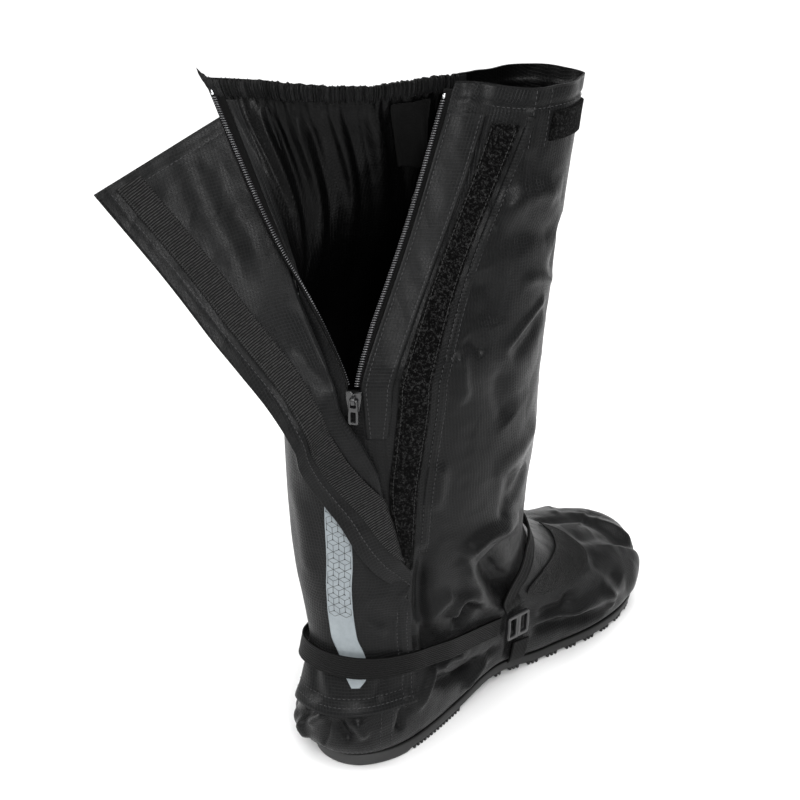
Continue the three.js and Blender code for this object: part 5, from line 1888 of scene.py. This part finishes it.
def raised_seam(name, line, out, width, height, material, **kind):
    """A low rounded strip along a line, such as the fold of a seam."""
    along = unit(np.gradient(line, axis=0))
    side = unit(np.cross(out, along))
    t = np.linspace(-1, 1, 7)
    grid = line[:, None, :] + side[:, None, :] * (t * width / 2)[None, :, None]
    crown = height * np.sqrt(np.clip(1 - t * t, 0, 1))
    return sheet_piece(name, grid - out[:, None, :] * 0.4, grid + out[:, None, :] * (crown + 0.02)[None, :, None],
                       material, **kind)


INNER = -0.05
OUTER = FLAP_THICKNESS
TAPE_FACE = HOOK_FACE - 0.05


def flip(pair):
    return pair[0], -pair[1]


def build_stitches():
    # Flap: hem of the free edge and the top, seen on its inner face, then the outer face's lower edge
    stitch_line(*flip(flap_line(8.0, INNER, 0.50, 1.88)))
    stitch_line(*flip(flap_cross(1 - 8 / 363, 0.10, 0.93, INNER)))
    stitch_line(*flip(flap_line(13.2, TAPE_FACE, 0.90, 1.88)), "thread_dark", 2.4)
    stitch_line(*flip(flap_line(26.8, TAPE_FACE, 0.90, 1.88)), "thread_dark", 2.4)
    stitch_line(*flap_line(3.0, OUTER, 0.19, 0.44))
    stitch_line(*flap_line(8.5, OUTER, 0.19, 0.44))
    stitch_line(*flap_cross(5 / 363, 0.03, 0.96, OUTER))
    stitch_line(*flap_cross(10 / 363, 0.03, 0.90, OUTER))
    # Tapes and the seam beside them on the medial panel
    for off in (3.2, 6.4):
        stitch_line(*tape_side(LOOP_ROWS, 2, off, 0.25, 150, 409))
    stitch_line(*tape_side(LOOP_ROWS, 2, -1.4, 2.3, 160, 402), "thread_dark", 2.4)
    stitch_line(*tape_side(LOOP_ROWS, 1, 1.4, 2.3, 170, 402), "thread_dark", 2.4)
    stitch_line(*tape_side(PLACKET_ROWS, 2, -2.2, 1.6))
    stitch_line(*tape_side(PLACKET_ROWS, 1, 2.2, 1.6))
    # Heel: double seam under the flap, with the band's seam above the sole
    for turn in (-2.4, 2.4):
        stitch_line(*skin_line((0.35, 1.2, 3.4), (391 + turn, 393 + turn, 395 + turn), 0.1))
    for rise in (0, 0.35):
        stitch_line(*skin_line(np.full(9, 1.15 + rise), np.linspace(300, 388, 9), 0.1))
    # Collar: hem of the plain stretch, with two short seams
    u = np.linspace(0.075, TUNNEL_FROM, 30)
    angle = angle_at(u)
    hem = station_of(np.full(30, SHAFT_HEIGHT - TUNNEL_HEIGHT - 1.5), angle)
    stitch_line(*skin_line(hem, angle, 0.1, 400))
    for place in (0.146, 0.176):
        z = np.linspace(SHAFT_HEIGHT - 34, SHAFT_HEIGHT - 1, 20)
        side = angle_at(np.full(20, place) - (z - SHAFT_HEIGHT) * 0.0001)
        stitch_line(*skin_line(station_of(z, side), side, 0.1, 60))
    # Wear patch: a line inside its edge
    rows = np.array(PATCH_ROWS, float)
    s = np.linspace(rows[0, 0] + 0.1, rows[-1, 0] - 0.1, 60)
    low = smooth(rows[:, 0], rows[:, 1], s) + 2.0
    high = smooth(rows[:, 0], rows[:, 2], s) - 2.5
    stitch_line(*skin_line(s, low, 1.2, 160), "thread_dark", 2.6)
    stitch_line(*skin_line(s, high, 1.2, 200), "thread_dark", 2.6)
    for name, sets in stitch_sets.items():
        points = np.concatenate([p for p, _ in sets])
        frames = np.concatenate([f for _, f in sets])
        scatter("stitches_" + name, bead(2.1, 0.5, 0.34, 3, 5), points, frames, MAT[name])


build_stitches()
line, out = tape_side(LOOP_ROWS, 2, 4.8, 0.05, 150, 409)
raised_seam("panel_seam", line, out, 5.0, 0.55, MAT["nylon"], slot="nylon")


# Stage: a plain pale floor, soft lights and the camera
def build_stage():
    mesh = bpy.data.meshes.new("floor")
    mesh.from_pydata([(-6, -6, 0), (6, -6, 0), (6, 6, 0), (-6, 6, 0)], [], [(0, 1, 2, 3)])
    floor = bpy.data.objects.new("floor", mesh)
    bpy.context.scene.collection.objects.link(floor)
    mat, tree, shader = new_material("floor_pale", Roughness=0.9)
    shader.inputs["Base Color"].default_value = (0.9, 0.9, 0.9, 1)
    shader.inputs["Specular IOR Level"].default_value = 0.2
    mesh.materials.append(mat)


def area_light(name, spot, target, size, power):
    data = bpy.data.lights.new(name, "AREA")
    data.shape = "RECTANGLE"
    data.size, data.size_y = size
    data.energy = power
    lamp = bpy.data.objects.new(name, data)
    bpy.context.scene.collection.objects.link(lamp)
    lamp.location = spot
    lamp.rotation_euler = (Vector(target) - Vector(spot)).to_track_quat("-Z", "Y").to_euler()


build_stage()
area_light("key_right", (1.25, -0.95, 1.25), (0.02, 0.05, 0.2), (0.6, 0.6), 21)
area_light("fill_left", (-1.2, -1.1, 1.0), (0, 0.0, 0.15), (0.6, 0.8), 17)
area_light("top_back", (0.1, 1.0, 1.9), (0, 0.1, 0.2), (1.4, 0.8), 14)
sky_data = bpy.data.lights.new("sky", "SUN")
sky_data.energy = 2.4
sky_data.angle = math.radians(50)
sky = bpy.data.objects.new("sky", sky_data)
bpy.context.scene.collection.objects.link(sky)
sky.rotation_euler = (math.radians(12), math.radians(8), 0)
world = bpy.data.worlds.new("studio")
bpy.context.scene.world = world
world.use_nodes = True
world.node_tree.nodes["Background"].inputs["Color"].default_value = (1, 1, 1, 1)
world.node_tree.nodes["Background"].inputs["Strength"].default_value = 0.34
bpy.context.scene.view_settings.view_transform = "Standard"

# Camera at the photograph's view
AZIMUTH, ELEVATION, DISTANCE = 40.0, 26.0, 1.021
TARGET = Vector((-0.024, 0.060, 0.214))
azimuth, elevation = math.radians(AZIMUTH), math.radians(ELEVATION)
level = math.cos(elevation)
back = Vector((math.sin(azimuth) * level, -math.cos(azimuth) * level, math.sin(elevation)))
camera_data = bpy.data.cameras.new("camera")
camera_data.lens = 72
camera_data.sensor_width = 36
camera_data.clip_end = 50
camera = bpy.data.objects.new("camera", camera_data)
bpy.context.scene.collection.objects.link(camera)
camera.location = TARGET + back * DISTANCE
camera.rotation_euler = (-back).to_track_quat("-Z", "Y").to_euler()
bpy.context.scene.camera = camera
